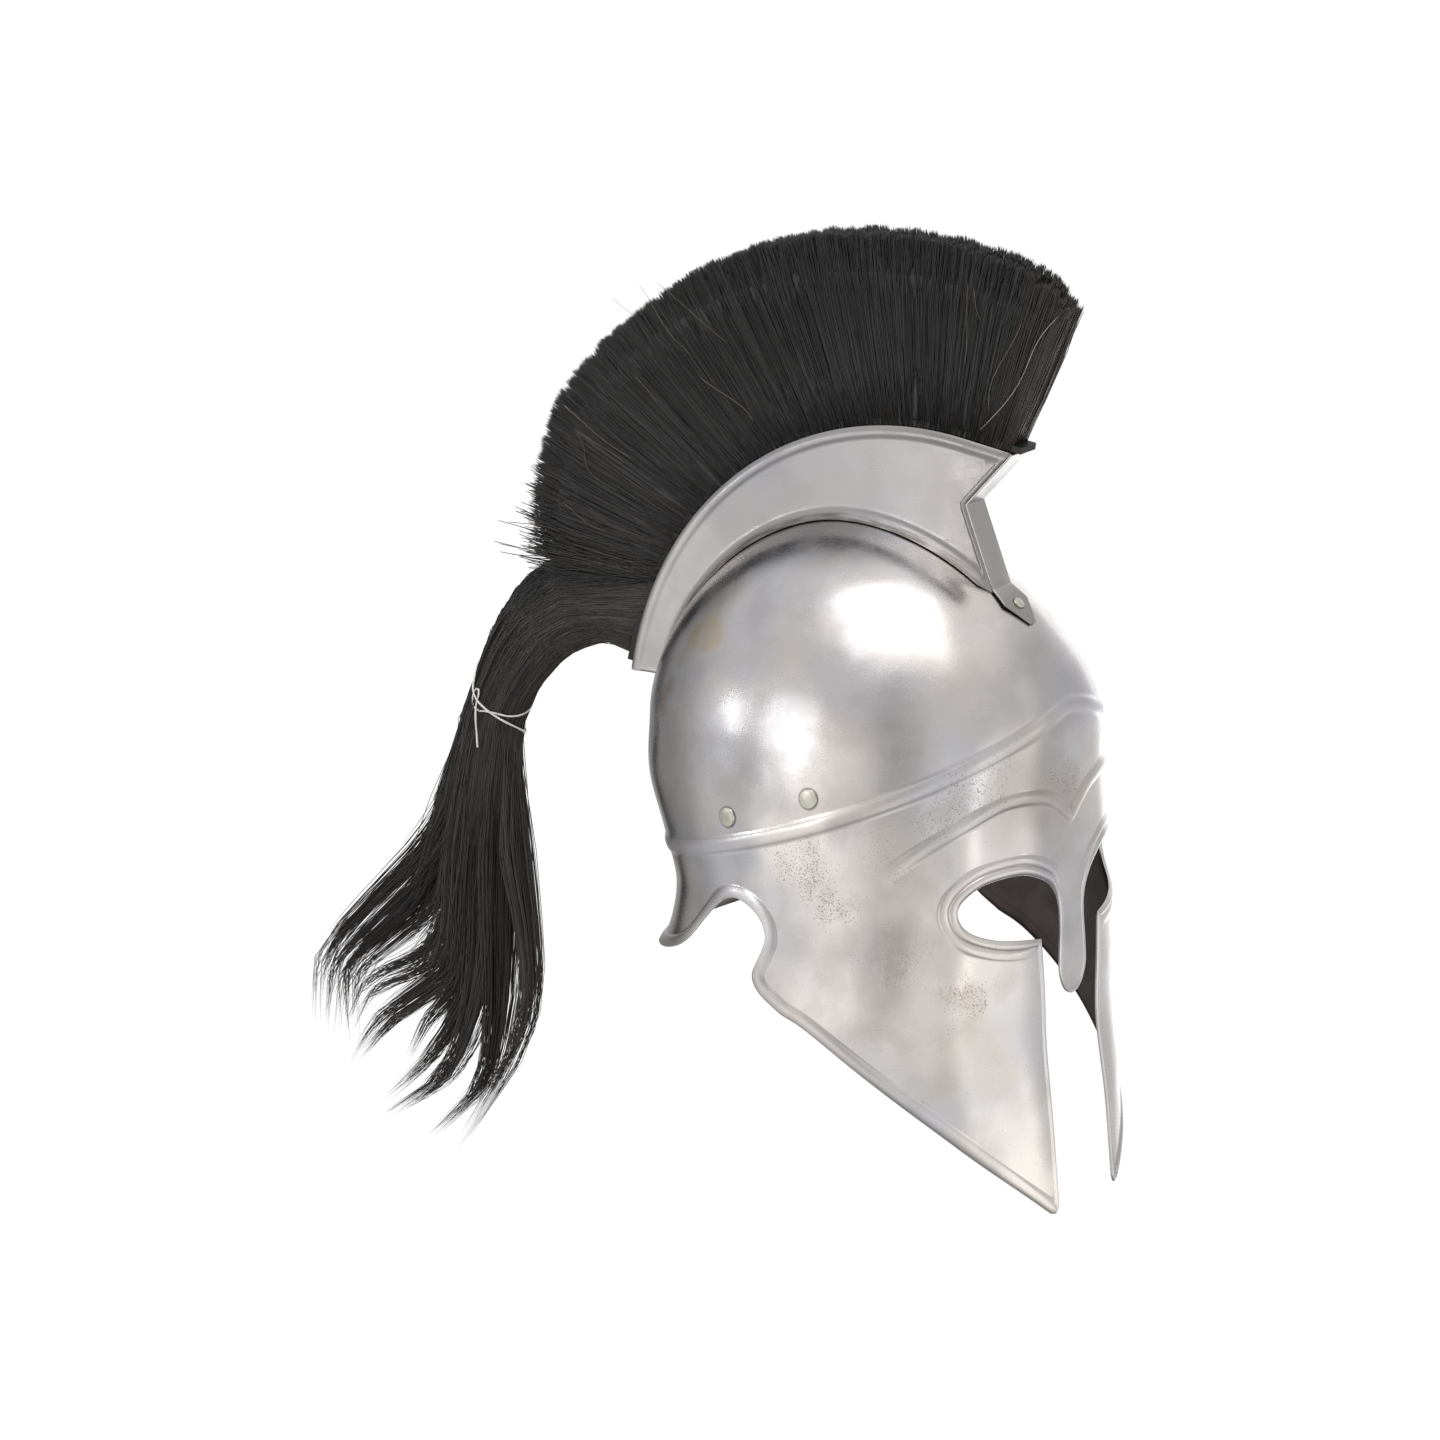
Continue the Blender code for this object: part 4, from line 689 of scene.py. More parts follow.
def centre_fill(levels, low, high):
    """Heights on a centre line, at every given level and evenly in between."""
    marks = [low] + sorted(set(v for v in levels if low < v < high)) + [high]
    filled = []
    for a, b in zip(marks, marks[1:]):
        count = max(1, round((b - a) / SHEET_STEP))
        filled += [a + (b - a) * i / count for i in range(1, count + 1)]
    return filled[:-1]


def shell_pattern(lines, dome_turns):
    """Triangles of the worked lower half, laid out flat."""
    edge, ridge, brow = lines
    strings, centre_front, centre_back = [], [], []
    for line, band in ((ridge, RIDGE_WIDTH), (brow, BROW_WIDTH)):
        normals = line_normals(line)
        for offset in ROLL_SHARES * band / 2:
            string = beside(line, offset, line) if offset else [tuple(p) for p in line[:, :2]]
            legs = line[1, :2] - line[0, :2]
            start = line[0, :2] + normals[0] * offset
            start = start - legs * start[0] / legs[0]
            string[0] = (0.0, round(start[1], 3))
            centre_front.append(string[0][1])
            string[1:] = [None if p is None or p[0] < CENTRE_GAP else p for p in string[1:]]
            if line is ridge:
                string[-1] = (HALF_GIRTH, round(line[-1, 1] + offset, 3))
                centre_back.append(string[-1][1])
            strings.append(string)
    for share in BORDER_SHARES:
        points = edge[:, :2] + line_normals(edge) * (edge[:, 2:3] * share)
        string = gapped(points, nearest(points, edge)[0] > BORDER_CLEAR_SHARE * edge[:, 2] * share)
        string[0] = (0.0, round(edge[0, 1] + edge[0, 2] * share, 3))
        string[-1] = (HALF_GIRTH, round(edge[-1, 1] + edge[-1, 2] * share, 3))
        centre_front.append(string[0][1])
        centre_back.append(string[-1][1])
        strings.append(string)
    second = edge[:, 5] > SECOND_ROLL_LEAST
    for share in SECOND_SHARES:
        reach = edge[:, 2] + SECOND_ROLL_WIDTH * share
        points = edge[:, :2] + line_normals(edge) * reach[:, None]
        strings.append(gapped(points, second & (nearest(points, edge)[0] > BORDER_CLEAR_SHARE * reach)))
    up_back = [(HALF_GIRTH, z) for z in centre_fill(centre_back, edge[-1, 1], DOME_EDGE)]
    down_front = [(0.0, z) for z in reversed(centre_fill(centre_front, edge[0, 1], DOME_EDGE))]
    ring = [(u, DOME_EDGE) for u in reversed(dome_turns)]
    outline = [tuple(p) for p in edge[:, :2]] + up_back + ring + down_front
    field = field_points((0.0, SECTIONS[-1, 0]), (HALF_GIRTH, DOME_EDGE), SHEET_STEP)
    margin = 0.4 * SHEET_STEP
    u, height = field.T
    keep = (u > margin) & (u < HALF_GIRTH - margin) & (height < DOME_EDGE - margin)
    reach, values = nearest(field, edge)
    width, beyond = values[:, 0], SECOND_ROLL_WIDTH * SECOND_SHARES[-1]
    keep &= reach > width + np.where(values[:, 3] > SECOND_ROLL_LEAST, beyond, 0.4 * width) + margin
    for line, band in ((ridge, RIDGE_WIDTH), (brow, BROW_WIDTH)):
        keep &= nearest(field, line)[0] > band / 2 * ROLL_SHARES[-1] + margin
    return triangulate(outline, strings, field[keep])


def new_mesh(name, points, polygons):
    """A mesh whose points are given in millimetres."""
    mesh = bpy.data.meshes.new(name)
    mesh.from_pydata(np.asarray(points, float) * MM, [], polygons)
    return mesh


def new_object(name, data):
    """An object that is in the scene."""
    made = bpy.data.objects.new(name, data)
    bpy.context.scene.collection.objects.link(made)
    return made


def thick_sheet(name, faces, outer, normals, wall):
    """A sheet's mesh with a wall and round rims. Its inside has the second material."""
    inner = outer - normals * wall
    edges = set()
    for face in faces:
        edges.update(zip(face, face[1:] + face[:1]))
    rim = [(a, b) for a, b in edges if (b, a) not in edges]
    rim.sort()
    away = np.zeros_like(outer)
    for a, b in rim:
        step = np.cross(outer[b] - outer[a], normals[a])
        step /= np.linalg.norm(step) + 1e-9
        away[a] += step
        away[b] += step
    starts = np.array(sorted(a for a, _ in rim))
    away = away[starts]
    away /= np.linalg.norm(away, axis=1, keepdims=True) + 1e-9
    middle = 0.5 * (outer + inner)[starts]
    points = [outer, inner]
    rows = [dict(zip(starts, starts))]
    for turn in RIM_TURNS:
        rise = 0.5 * wall * math.cos(math.radians(turn))
        reach = RIM_ROUND * math.sin(math.radians(turn))
        base = sum(map(len, points))
        rows.append({a: base + i for i, a in enumerate(starts)})
        points.append(middle + normals[starts] * rise + away * reach)
    rows.append({a: a + len(outer) for a in starts})
    polygons = list(faces)
    for high, low in zip(rows, rows[1:]):
        polygons += [(high[b], high[a], low[a], low[b]) for a, b in rim]
    outside = len(polygons)
    polygons += [tuple(i + len(outer) for i in reversed(face)) for face in faces]
    mesh = new_mesh(name, np.vstack(points), polygons)
    inner_faces = np.arange(len(polygons)) >= outside
    mesh.polygons.foreach_set("material_index", inner_faces.astype(np.int32))
    return mesh


def show(mesh, slot, *finishes, sharp=50.0):
    """An object of the helmet, smooth but for edges sharper than an angle."""
    mesh.shade_smooth()
    mesh.set_sharp_from_angle(angle=math.radians(sharp))
    piece = new_object(mesh.name, mesh)
    for finish in finishes:
        mesh.materials.append(finish)
    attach(piece, "root")
    return piece


def make_shell(outside, inside):
    """Skull, nasal, cheek plates and neck guard as one sheet."""
    lines = shell_lines(EDGE_STEP, EDGE_BEND)
    dome_count = round(180.0 / DOME_TURN)
    dome_turns = [float(pattern_row(i * DOME_TURN)) for i in range(dome_count + 1)]
    points, triangles = shell_pattern(lines, dome_turns)
    rises = relief(points, lines)
    keys, flat, faces = {}, [], []

    def corner(u, height, side, rise):
        """Number of a corner on one side, which both sides share on the centre line."""
        middle = u < 1e-3 or u > HALF_GIRTH - 1e-3
        key = (round(u, 2), round(height, 2), 0 if middle else side)
        if key not in keys:
            keys[key] = len(flat)
            flat.append((side * float(pattern_turn(u)), height, rise))
        return keys[key]

    def add_face(corners, side):
        """A face that looks outward, unless its corners have fallen together."""
        ids = list(dict.fromkeys(corners))
        if len(ids) > 2:
            faces.append(tuple(ids[::side]))

    # Rings of the dome, evenly spaced by their slope
    start = ((DOME_EDGE - BROW_LEVEL) / (CROWN - BROW_LEVEL)) ** DOME_FULLNESS
    slopes = np.linspace(math.asin(math.sqrt(start)), math.pi / 2, DOME_RINGS + 1)
    levels = BROW_LEVEL + (CROWN - BROW_LEVEL) * np.sin(slopes) ** (2.0 / DOME_FULLNESS)
    levels[0] = DOME_EDGE
    crown = 0
    flat.append((0.0, CROWN, 0.0))
    for side in (1, -1):
        for triangle in triangles:
            add_face([corner(*points[i], side, rises[i]) for i in triangle], side)
        for a, b in zip(dome_turns, dome_turns[1:]):
            for lower, upper in zip(levels[:-2], levels[1:-1]):
                quad = ((a, lower), (b, lower), (b, upper), (a, upper))
                add_face([corner(*place, side, 0.0) for place in quad], side)
            top = [corner(turn, levels[-2], side, 0.0) for turn in (a, b)]
            add_face(top + [crown], side)

    flat = np.array(flat)
    base = shell_surface(flat[:, 0], flat[:, 1])
    normal = shell_normal(flat[:, 0], flat[:, 1])
    base[crown] = (0.0, 0.0, CROWN)
    normal[crown] = (0.0, 0.0, 1.0)
    mesh = thick_sheet("helmet_shell_fine", faces, base + normal * flat[:, 2:3], normal, WALL)
    raised = np.zeros(len(mesh.vertices), np.float32)
    raised[:len(flat)] = flat[:, 2]
    mesh.attributes.new("raised", "FLOAT", "POINT").data.foreach_set("value", raised)
    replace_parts(show(mesh, "steel", outside, inside), "helmet_shell")


def stands_outside(x, y, z):
    """Whether a point is outside the plain skull, for arrays of points."""
    turn = np.arctan2(x, -y)
    skin = shell_surface(turn, np.minimum(z, CROWN - 0.01))
    reach = np.hypot(skin[..., 0], skin[..., 1])
    return (z > CROWN) | (np.hypot(x, y) > reach)


def skull_reach(sweep, x):
    """Distance from SWEEP_CENTRE to the skull along rays in the plane of that x."""
    low = np.full_like(sweep, SWEEP_REACHES[0])
    high = np.full_like(sweep, SWEEP_REACHES[1])
    for _ in range(40):
        middle = 0.5 * (low + high)
        y = SWEEP_CENTRE[0] + middle * np.sin(sweep)
        z = SWEEP_CENTRE[1] + middle * np.cos(sweep)
        out = stands_outside(np.full_like(sweep, x), y, z)
        high = np.where(out, middle, high)
        low = np.where(out, low, middle)
    return 0.5 * (low + high)


def box_foot(x, clearance, count=90):
    """The line where the box meets the skull, from front to rear."""
    sweep = np.radians(np.linspace(*SWEEP_TURNS, count))
    reach = skull_reach(sweep, x) + clearance
    line = np.stack([SWEEP_CENTRE[0] + reach * np.sin(sweep),
                     SWEEP_CENTRE[1] + reach * np.cos(sweep)], axis=-1)
    keep = (line[:, 0] >= BOX_FRONT_FOOT) & ((line[:, 1] >= BOX_REAR_FOOT_HEIGHT) | (line[:, 0] < 0))
    return line[keep]


def box_top(distance):
    """Points of the box's top edge in its plane and the outward directions there."""
    distance = np.asarray(distance, float)[..., None]
    start = math.radians(BOX_STRAIGHT_TURN)
    turn = start + np.maximum(distance - BOX_FRONT_RUN, 0.0) / BOX_RADIUS
    out = np.concatenate([np.sin(turn), np.cos(turn)], axis=-1)
    along = np.array([math.cos(start), -math.sin(start)])
    point = np.array(BOX_CENTRE) + BOX_RADIUS * out
    return point - along * np.maximum(BOX_FRONT_RUN - distance, 0.0), out


def box_length():
    """Length of the box's top edge."""
    return BOX_FRONT_RUN + BOX_RADIUS * math.radians(BOX_REAR_TURN - BOX_STRAIGHT_TURN)


def evenly(start, end, step=PLATE_STEP):
    """Points from one place to another in even steps."""
    start, end = np.array(start, float), np.array(end, float)
    count = max(1, round(float(np.linalg.norm(end - start)) / step))
    return np.linspace(start, end, count + 1)


def box_side_lines(step):
    """Foot, rear, top and front of a side plate, each with border width and rise columns."""
    def bordered(points, width, rise):
        """Points with the two columns."""
        points = np.asarray(points, float)
        return np.column_stack([points, np.full(len(points), width), np.full(len(points), rise)])

    foot = bordered(box_foot(BOX_HALF + LIP_REACH, LIP_SEAT), 0.0, 0.0)
    count = 150
    top = [box_top(box_length() * (1.0 - i / count))[0] for i in range(count + 1)]
    rear_foot = foot[-1, :2]
    front_foot = foot[0, :2]
    return {
        "foot": thin_out(foot, step, EDGE_BEND),
        "rear": bordered(evenly(rear_foot, top[0]), BOX_END_BORDER, BOX_END_RISE),
        "top": thin_out(bordered(top, BOX_BORDER, BOX_BORDER_RISE), step, EDGE_BEND),
        "front": bordered(np.vstack([evenly(top[-1], BOX_NOTCH)[:-1], evenly(BOX_NOTCH, front_foot)]),
                          BOX_END_BORDER, BOX_END_RISE),
    }


def side_relief(points, lines):
    """How far a side plate's outer face stands out from its flat middle."""
    stand = np.zeros(len(points))
    for name in ("top", "front", "rear"):
        distance, values = nearest(points, lines[name])
        across = np.clip(distance / values[:, 0], 0.0, 1.0)
        stand = np.maximum(stand, values[:, 1] * 4.0 * across * (1.0 - across))
    flare = np.clip(1.0 - nearest(points, lines["foot"])[0] / LIP_DROP, 0.0, 1.0)
    fade = smoothstep(nearest(points, lines["front"])[0] / LIP_END)
    return stand + LIP_REACH * flare**LIP_CURVE * fade


def unit(vector):
    """A vector at length 1."""
    return vector / np.linalg.norm(vector)


def sweep_point(sweep, reach):
    """A point on a ray from SWEEP_CENTRE."""
    return np.array(SWEEP_CENTRE) + reach * np.array([math.sin(sweep), math.cos(sweep)])


def skull_clearance(point):
    """How far a point of the plane of symmetry stands off the skull, along its ray."""
    arm = point - np.array(SWEEP_CENTRE)
    sweep = np.array([math.atan2(arm[0], arm[1])])
    return float(np.linalg.norm(arm) - skull_reach(sweep, 0.01)[0])


def strap_run():
    """The strap's inner line in the plane of symmetry, with its half widths."""
    front_foot = box_side_lines(PLATE_STEP)["foot"][0, :2]
    top, notch = box_top(0.0)[0], np.array(BOX_NOTCH)
    upper, lower = unit(notch - top), unit(front_foot - notch)
    upper_out, lower_out = np.array([upper[1], -upper[0]]), np.array([lower[1], -lower[0]])
    bend = upper_out + lower_out
    bend = notch + SEAT * bend / (bend @ lower_out)
    # The lower leg runs down until it is near the skull
    low, high = 0.0, np.linalg.norm(front_foot - notch) + 2.0
    for _ in range(30):
        middle = 0.5 * (low + high)
        if skull_clearance(bend + lower * middle) > STRAP_SEAT:
            low = middle
        else:
            high = middle
    foot = bend + lower * low
    rows = [(*(top + SEAT * upper_out), STRAP_HALF), (*bend, STRAP_HALF), (*foot, STRAP_FOOT_HALF)]
    arm = foot - np.array(SWEEP_CENTRE)
    start = math.atan2(arm[0], arm[1])
    sweeps = np.linspace(start, start - math.radians(STRAP_SWEEP), 120)
    reach = skull_reach(sweeps, 0.01) + STRAP_SEAT
    skin = np.array([sweep_point(s, r) for s, r in zip(sweeps, reach)])
    marks = list(np.linspace(foot[1], STRAP_SHOULDER_HEIGHT, STRAP_STATIONS - 1)[1:])
    widths = list(np.linspace(STRAP_FOOT_HALF, STRAP_SHOULDER_HALF, STRAP_STATIONS - 1)[1:])
    marks += list(np.linspace(STRAP_SHOULDER_HEIGHT, STRAP_TIP_HEIGHT, 3)[1:])
    widths += list(np.linspace(STRAP_SHOULDER_HALF, STRAP_TIP_HALF, 3)[1:])
    for height, width in zip(marks, widths):
        rows.append((np.interp(-height, -skin[:, 1], skin[:, 0]), height, width))
    return np.array(rows)


def make_box_sides(steel, inside):
    """The two side plates of the crest box, with their raised border and flared foot."""
    lines = box_side_lines(PLATE_STEP)
    outline = np.vstack([lines[k][:-1, :2] for k in ("foot", "rear", "top", "front")])
    closed = np.vstack([outline, outline[:1]])
    strings = []
    borders = {"top": BOX_BORDER, "front": BOX_END_BORDER, "rear": BOX_END_BORDER, "foot": LIP_DROP}
    for name, width in borders.items():
        line = lines[name]
        for distance in width * np.array(PLATE_SHARES):
            strings.append(beside(line, distance, closed))
    field = field_points(*BOX_FIELD, BOX_FIELD_STEP)
    keep = nearest(field, closed)[0] > BOX_BORDER * PLATE_SHARES[-1] + 0.45 * PLATE_STEP
    points, triangles = triangulate(outline, strings, field[keep])
    stand = side_relief(points, lines)
    for side, hand in ((-1, "right"), (1, "left")):
        outer = np.column_stack([side * (BOX_HALF + stand), points])
        normals = np.tile((float(side), 0.0, 0.0), (len(points), 1))
        faces = [tuple(face[::side]) for face in triangles]
        mesh = thick_sheet(f"crest_side_{hand}_fine", faces, outer, normals, PLATE)
        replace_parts(show(mesh, "steel", steel, inside), f"crest_side_{hand}")


def rounded(piece, width, segments=2):
    """Small round edges on a bent strip or a block."""
    bevel = piece.modifiers.new("round edges", "BEVEL")
    bevel.width = width * MM
    bevel.segments = segments
    bevel.limit_method = "ANGLE"
    bevel.angle_limit = math.radians(25.0)
    return piece


def tube_faces(count, sides):
    """Faces between a tube's rings of points, and the two that close its ends."""
    faces = []
    for start in range(0, count - sides, sides):
        for i in range(sides):
            j = (i + 1) % sides
            faces.append((start + i, start + j, start + sides + j, start + sides + i))
    return faces + [tuple(range(sides - 1, -1, -1)), tuple(range(count - sides, count))]


def ribbon(name, rows, thickness):
    """A bent strip across the plane of symmetry, thickened to the left of its run."""
    line = rows[:, :2]
    outer_line = line - line_normals(rows) * thickness
    points = []
    for inner, outer, half in zip(line, outer_line, rows[:, 2]):
        points += [(-half, *inner), (half, *inner), (half, *outer), (-half, *outer)]
    mesh = new_mesh(name, points, tube_faces(len(points), 4))
    if mesh.polygons[1].normal.x < 0:
        mesh.flip_normals()
    return mesh


def make_strap(steel):
    """The front strap, whose tab is riveted to the skull."""
    mesh = ribbon("crest_front_strap_fine", strap_run(), PLATE)
    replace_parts(rounded(show(mesh, "steel", steel), 0.3), "crest_front_strap")


def make_rear_strip(steel):
    """The strip that closes the box behind, between the plates' rear ends."""
    rear = box_side_lines(PLATE_STEP)["rear"][:, :2]
    along = unit(rear[1] - rear[0])
    lift = np.array([-along[1], along[0]]) * REAR_STRIP_LIFT
    ends = (REAR_STRIP_START, REAR_STRIP_END)
    rows = np.array([(*(rear[0] + lift + along * end), REAR_STRIP_HALF) for end in ends])
    mesh = ribbon("crest_rear_plate_fine", rows, -PLATE)
    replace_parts(rounded(show(mesh, "steel", steel), 0.2), "crest_rear_plate")


def turned(name, profile, centre, normal):
    """A turned mesh. The profile lists radius and height from bottom to top."""
    angles = 2.0 * math.pi * np.arange(RIVET_SIDES) / RIVET_SIDES
    ring = np.column_stack([np.cos(angles), np.sin(angles)])
    points = np.vstack([np.column_stack([ring * radius, np.full(RIVET_SIDES, height)])
                        for radius, height in profile])
    mesh = new_mesh(name, points, tube_faces(len(points), RIVET_SIDES))
    turn = Vector(normal).to_track_quat("Z", "Y").to_matrix().to_4x4()
    mesh.transform(Matrix.Translation(Vector(centre) * MM) @ turn)
    return mesh


def make_rivet(finish, node_name, centre, normal, head, shank, grip, crown):
    """A rivet whose head is crowned by a share of its radius, clinched inside."""
    under = grip + SEAT + RIVET_SAG
    clinch = CLINCH_SPREAD * shank
    profile = [
        (clinch * CLINCH_CORNER, -under - CLINCH_DEPTH),
        (clinch, -under - CLINCH_EDGE),
        (clinch, -under),
        (shank, -under),
        (shank, HEAD_SEAT),
        (head, HEAD_SEAT),
    ]
    rise = crown * head
    profile += [(across * head, up * rise) for across, up in RIVET_CURVE]
    mesh = turned(f"{node_name}_fine", profile, centre, normal)
    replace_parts(show(mesh, "rivet", finish, sharp=60.0), node_name)


def rivet_places():
    """Two rivets on each side of the skull and one through the strap's tab.

    Each has its node's name, its seat, the direction of its head, the radii of head and
    shank, the steel that it grips and how far its head is crowned.
    """
    places = []
    for side, hand in ((-1, "right"), (1, "left")):
        for spot, (turn, height) in SKULL_RIVETS.items():
            angle = np.array(side * math.radians(turn))
            seat = shell_surface(angle, height)
            normal = shell_normal(angle, np.array(height))
            places.append((f"skull_rivet_{hand}_{spot}", seat, normal,
                           RIVET_HEAD, RIVET_SHANK, WALL, RIVET_CROWN))
    rows = strap_run()
    y = float(np.interp(-TAB_RIVET_HEIGHT, -rows[2:, 1], rows[2:, 0]))
    normal = shell_normal(np.array(0.0), np.array(TAB_RIVET_HEIGHT))
    centre = np.array([0.0, y, TAB_RIVET_HEIGHT]) + normal * PLATE
    grip = PLATE + STRAP_SEAT + WALL
    places.append(("crest_tab_rivet", centre, normal,
                   TAB_RIVET_HEAD, TAB_RIVET_SHANK, grip, TAB_RIVET_CROWN))
    return places


def strands(name, paths, radii, tones, finish):
    """Hairs as fine three-sided tubes that end in a point, with a tone for each hair.

    The paths are an array of hairs by places by axes, with a radius for each place but the
    last. All the hairs make one mesh.
    """
    count, places = paths.shape[:2]
    paths = paths.astype(np.float32)
    ahead = np.gradient(paths, axis=1)
    ahead /= np.linalg.norm(ahead, axis=2, keepdims=True) + 1e-9
    first = np.cross(ahead, np.array([1.0, 0.0, 0.0], np.float32))
    first /= np.linalg.norm(first, axis=2, keepdims=True) + 1e-9
    second = np.cross(ahead, first)
    radius = np.broadcast_to(np.asarray(radii, np.float32), (count, places - 1))[..., None]
    rings = []
    for k in range(3):
        angle = 2.0 * math.pi * k / 3.0
        offset = math.cos(angle) * first[:, :-1] + math.sin(angle) * second[:, :-1]
        rings.append(paths[:, :-1] + offset * radius)
    body = np.stack(rings, axis=2).reshape(count, -1, 3)
    points = np.concatenate([body, paths[:, -1:]], axis=1)
    per_hair = points.shape[1]
    quads, corners = [], []
    for row in range(places - 2):
        for k in range(3):
            m = (k + 1) % 3
            quads.append((3 * row + k, 3 * row + m, 3 * row + 3 + m, 3 * row + 3 + k))
    last = 3 * (places - 2)
    for k in range(3):
        corners.append((last + k, last + (k + 1) % 3, per_hair - 1))
    corners.append((2, 1, 0))
    shift = (np.arange(count) * per_hair)[:, None, None]
    quads = (np.array(quads)[None] + shift).reshape(-1, 4)
    corners = (np.array(corners)[None] + shift).reshape(-1, 3)
    mesh = bpy.data.meshes.new(name)
    mesh.vertices.add(count * per_hair)
    mesh.vertices.foreach_set("co", (points * MM).astype(np.float32).ravel())
    mesh.loops.add(quads.size + corners.size)
    order = np.concatenate([quads.ravel(), corners.ravel()])
    mesh.loops.foreach_set("vertex_index", order.astype(np.int32))
    mesh.polygons.add(len(quads) + len(corners))
    starts = np.concatenate([4 * np.arange(len(quads)), quads.size + 3 * np.arange(len(corners))])
    mesh.polygons.foreach_set("loop_start", starts.astype(np.int32))
    mesh.update(calc_edges=True)
    tone = mesh.attributes.new("tone", "FLOAT", "POINT")
    tone.data.foreach_set("value", np.repeat(tones, per_hair).astype(np.float32))
    return show(mesh, "hair", finish, sharp=180.0)


def smooth_through(places, count, end):
    """Smooth runs through rows of places, read at even steps up to each run's own end."""
    first = 2 * places[:, :1] - places[:, 1:2]
    last = 2 * places[:, -1:] - places[:, -2:-1]
    rows = np.concatenate([first, places, last], axis=1)
    spans = places.shape[1] - 1
    at = np.linspace(0.0, 1.0, count)[None] * (spans * np.asarray(end))[:, None]
    i = np.minimum(at.astype(int), spans - 1)
    t = (at - i)[..., None]
    hair = np.arange(len(places))[:, None]
    return smooth_leg(*(rows[hair, i + k] for k in range(4)), t)


def brush_ends(share):
    """Root, tip and half width of the tips at places along the brush."""
    root = box_top(BRUSH_ROOT_START + (BRUSH_ROOT_END - BRUSH_ROOT_START) * share)[0]
    turn = np.radians(np.interp(share, (0.0, 1.0), BRUSH_TIP_TURNS))
    radius = BRUSH_RADIUS - BRUSH_FRONT_ROUND * (1.0 - smoothstep(share / BRUSH_FRONT_SHARE))
    rear = np.maximum(0.0, 1.0 - (1.0 - share) / BRUSH_REAR_SHARE)
    radius = radius - BRUSH_REAR_ROUND * rear**BRUSH_REAR_CURVE
    tip = np.array(BRUSH_CENTRE) + radius[:, None] * np.stack([np.sin(turn), np.cos(turn)], axis=-1)
    half = np.interp(share, (0.0, 2.0 * BRUSH_FRONT_SHARE), (BRUSH_FRONT_HALF, BRUSH_TIP_HALF))
    return root, tip, half


def brush_paths(rng, share, depth):
    """Paths of upright hairs. Depth runs from -1 on the wearer's right to 1 on the left."""
    count = len(share)
    stray = np.where(rng.random(count) < BRUSH_STRAYS, BRUSH_STRAY_SPREAD, 1.0)
    clump = (share * BRUSH_CLUMPS + rng.normal(0.0, CLUMP_BLUR, count)).astype(int)
    clump = np.clip(clump, 0, BRUSH_CLUMPS - 1)
    centre = (clump + 0.5) / BRUSH_CLUMPS
    short = np.abs(rng.normal(0.0, CLUMP_SHORTNESS, BRUSH_CLUMPS))[clump]
    short = short + rng.random(count) * HAIR_SHORTNESS
    lean = rng.normal(0.0, CLUMP_LEAN, BRUSH_CLUMPS)[clump]
    root = brush_ends(share)[0]
    tip, half = brush_ends(share + (centre - share) * BRUSH_PULL)[1:]
    loose = smoothstep((share - LOOSE_START) / (1.0 - LOOSE_START))
    out = tip - root
    out = out / np.linalg.norm(out, axis=1, keepdims=True)
    side = np.stack([out[:, 1], -out[:, 0]], axis=-1)
    is_over = rng.random(count) < 0.5
    over, under = rng.exponential(LOOSE_OVER, count), rng.exponential(LOOSE_SHORT, count)
    short = short + loose * np.where(is_over, -over, under)
    short = short + rng.exponential(FRONT_SHORTNESS, count) * (share < FRONT_FACE)
    sway = rng.normal(0.0, 1.0, count) * np.where(share > CALM_FRONT, stray, 1.0)
    sway = sway + rng.exponential(LOOSE_SWAY, count) * loose
    faded = 1.0 - smoothstep((share - LIFT_FADE) / LIFT_FADE)
    lift = TIP_LIFT * smoothstep(share / LIFT_RISE) * faded - short
    tip = tip + out * lift[:, None] + side * (lean + sway)[:, None]
    bow = rng.normal(0.0, BRUSH_BOW + STRAY_BOW * stray, count)
    bow = (bow * np.where(share > CALM_FRONT, 1.0, CALM_BOW))[:, None]
    outside = np.abs(depth) > OUTER_DEPTH
    root = root + np.where(outside, 0.0, BLOCK_PROUD)[:, None] * out
    rows = []
    for up in BRUSH_PLACES:
        flat = root + (tip - root) * up + side * bow * math.sin(math.pi * up)
        trim = 1.0 - (1.0 - BRUSH_TRIM) * smoothstep((up - TRIM_START) / (1.0 - TRIM_START))
        x = depth * (BRUSH_ROOT_HALF + (half - BRUSH_ROOT_HALF) * up**BRUSH_SPREAD) * trim
        rows.append(np.column_stack([x, flat]))
    return np.stack(rows, axis=1)


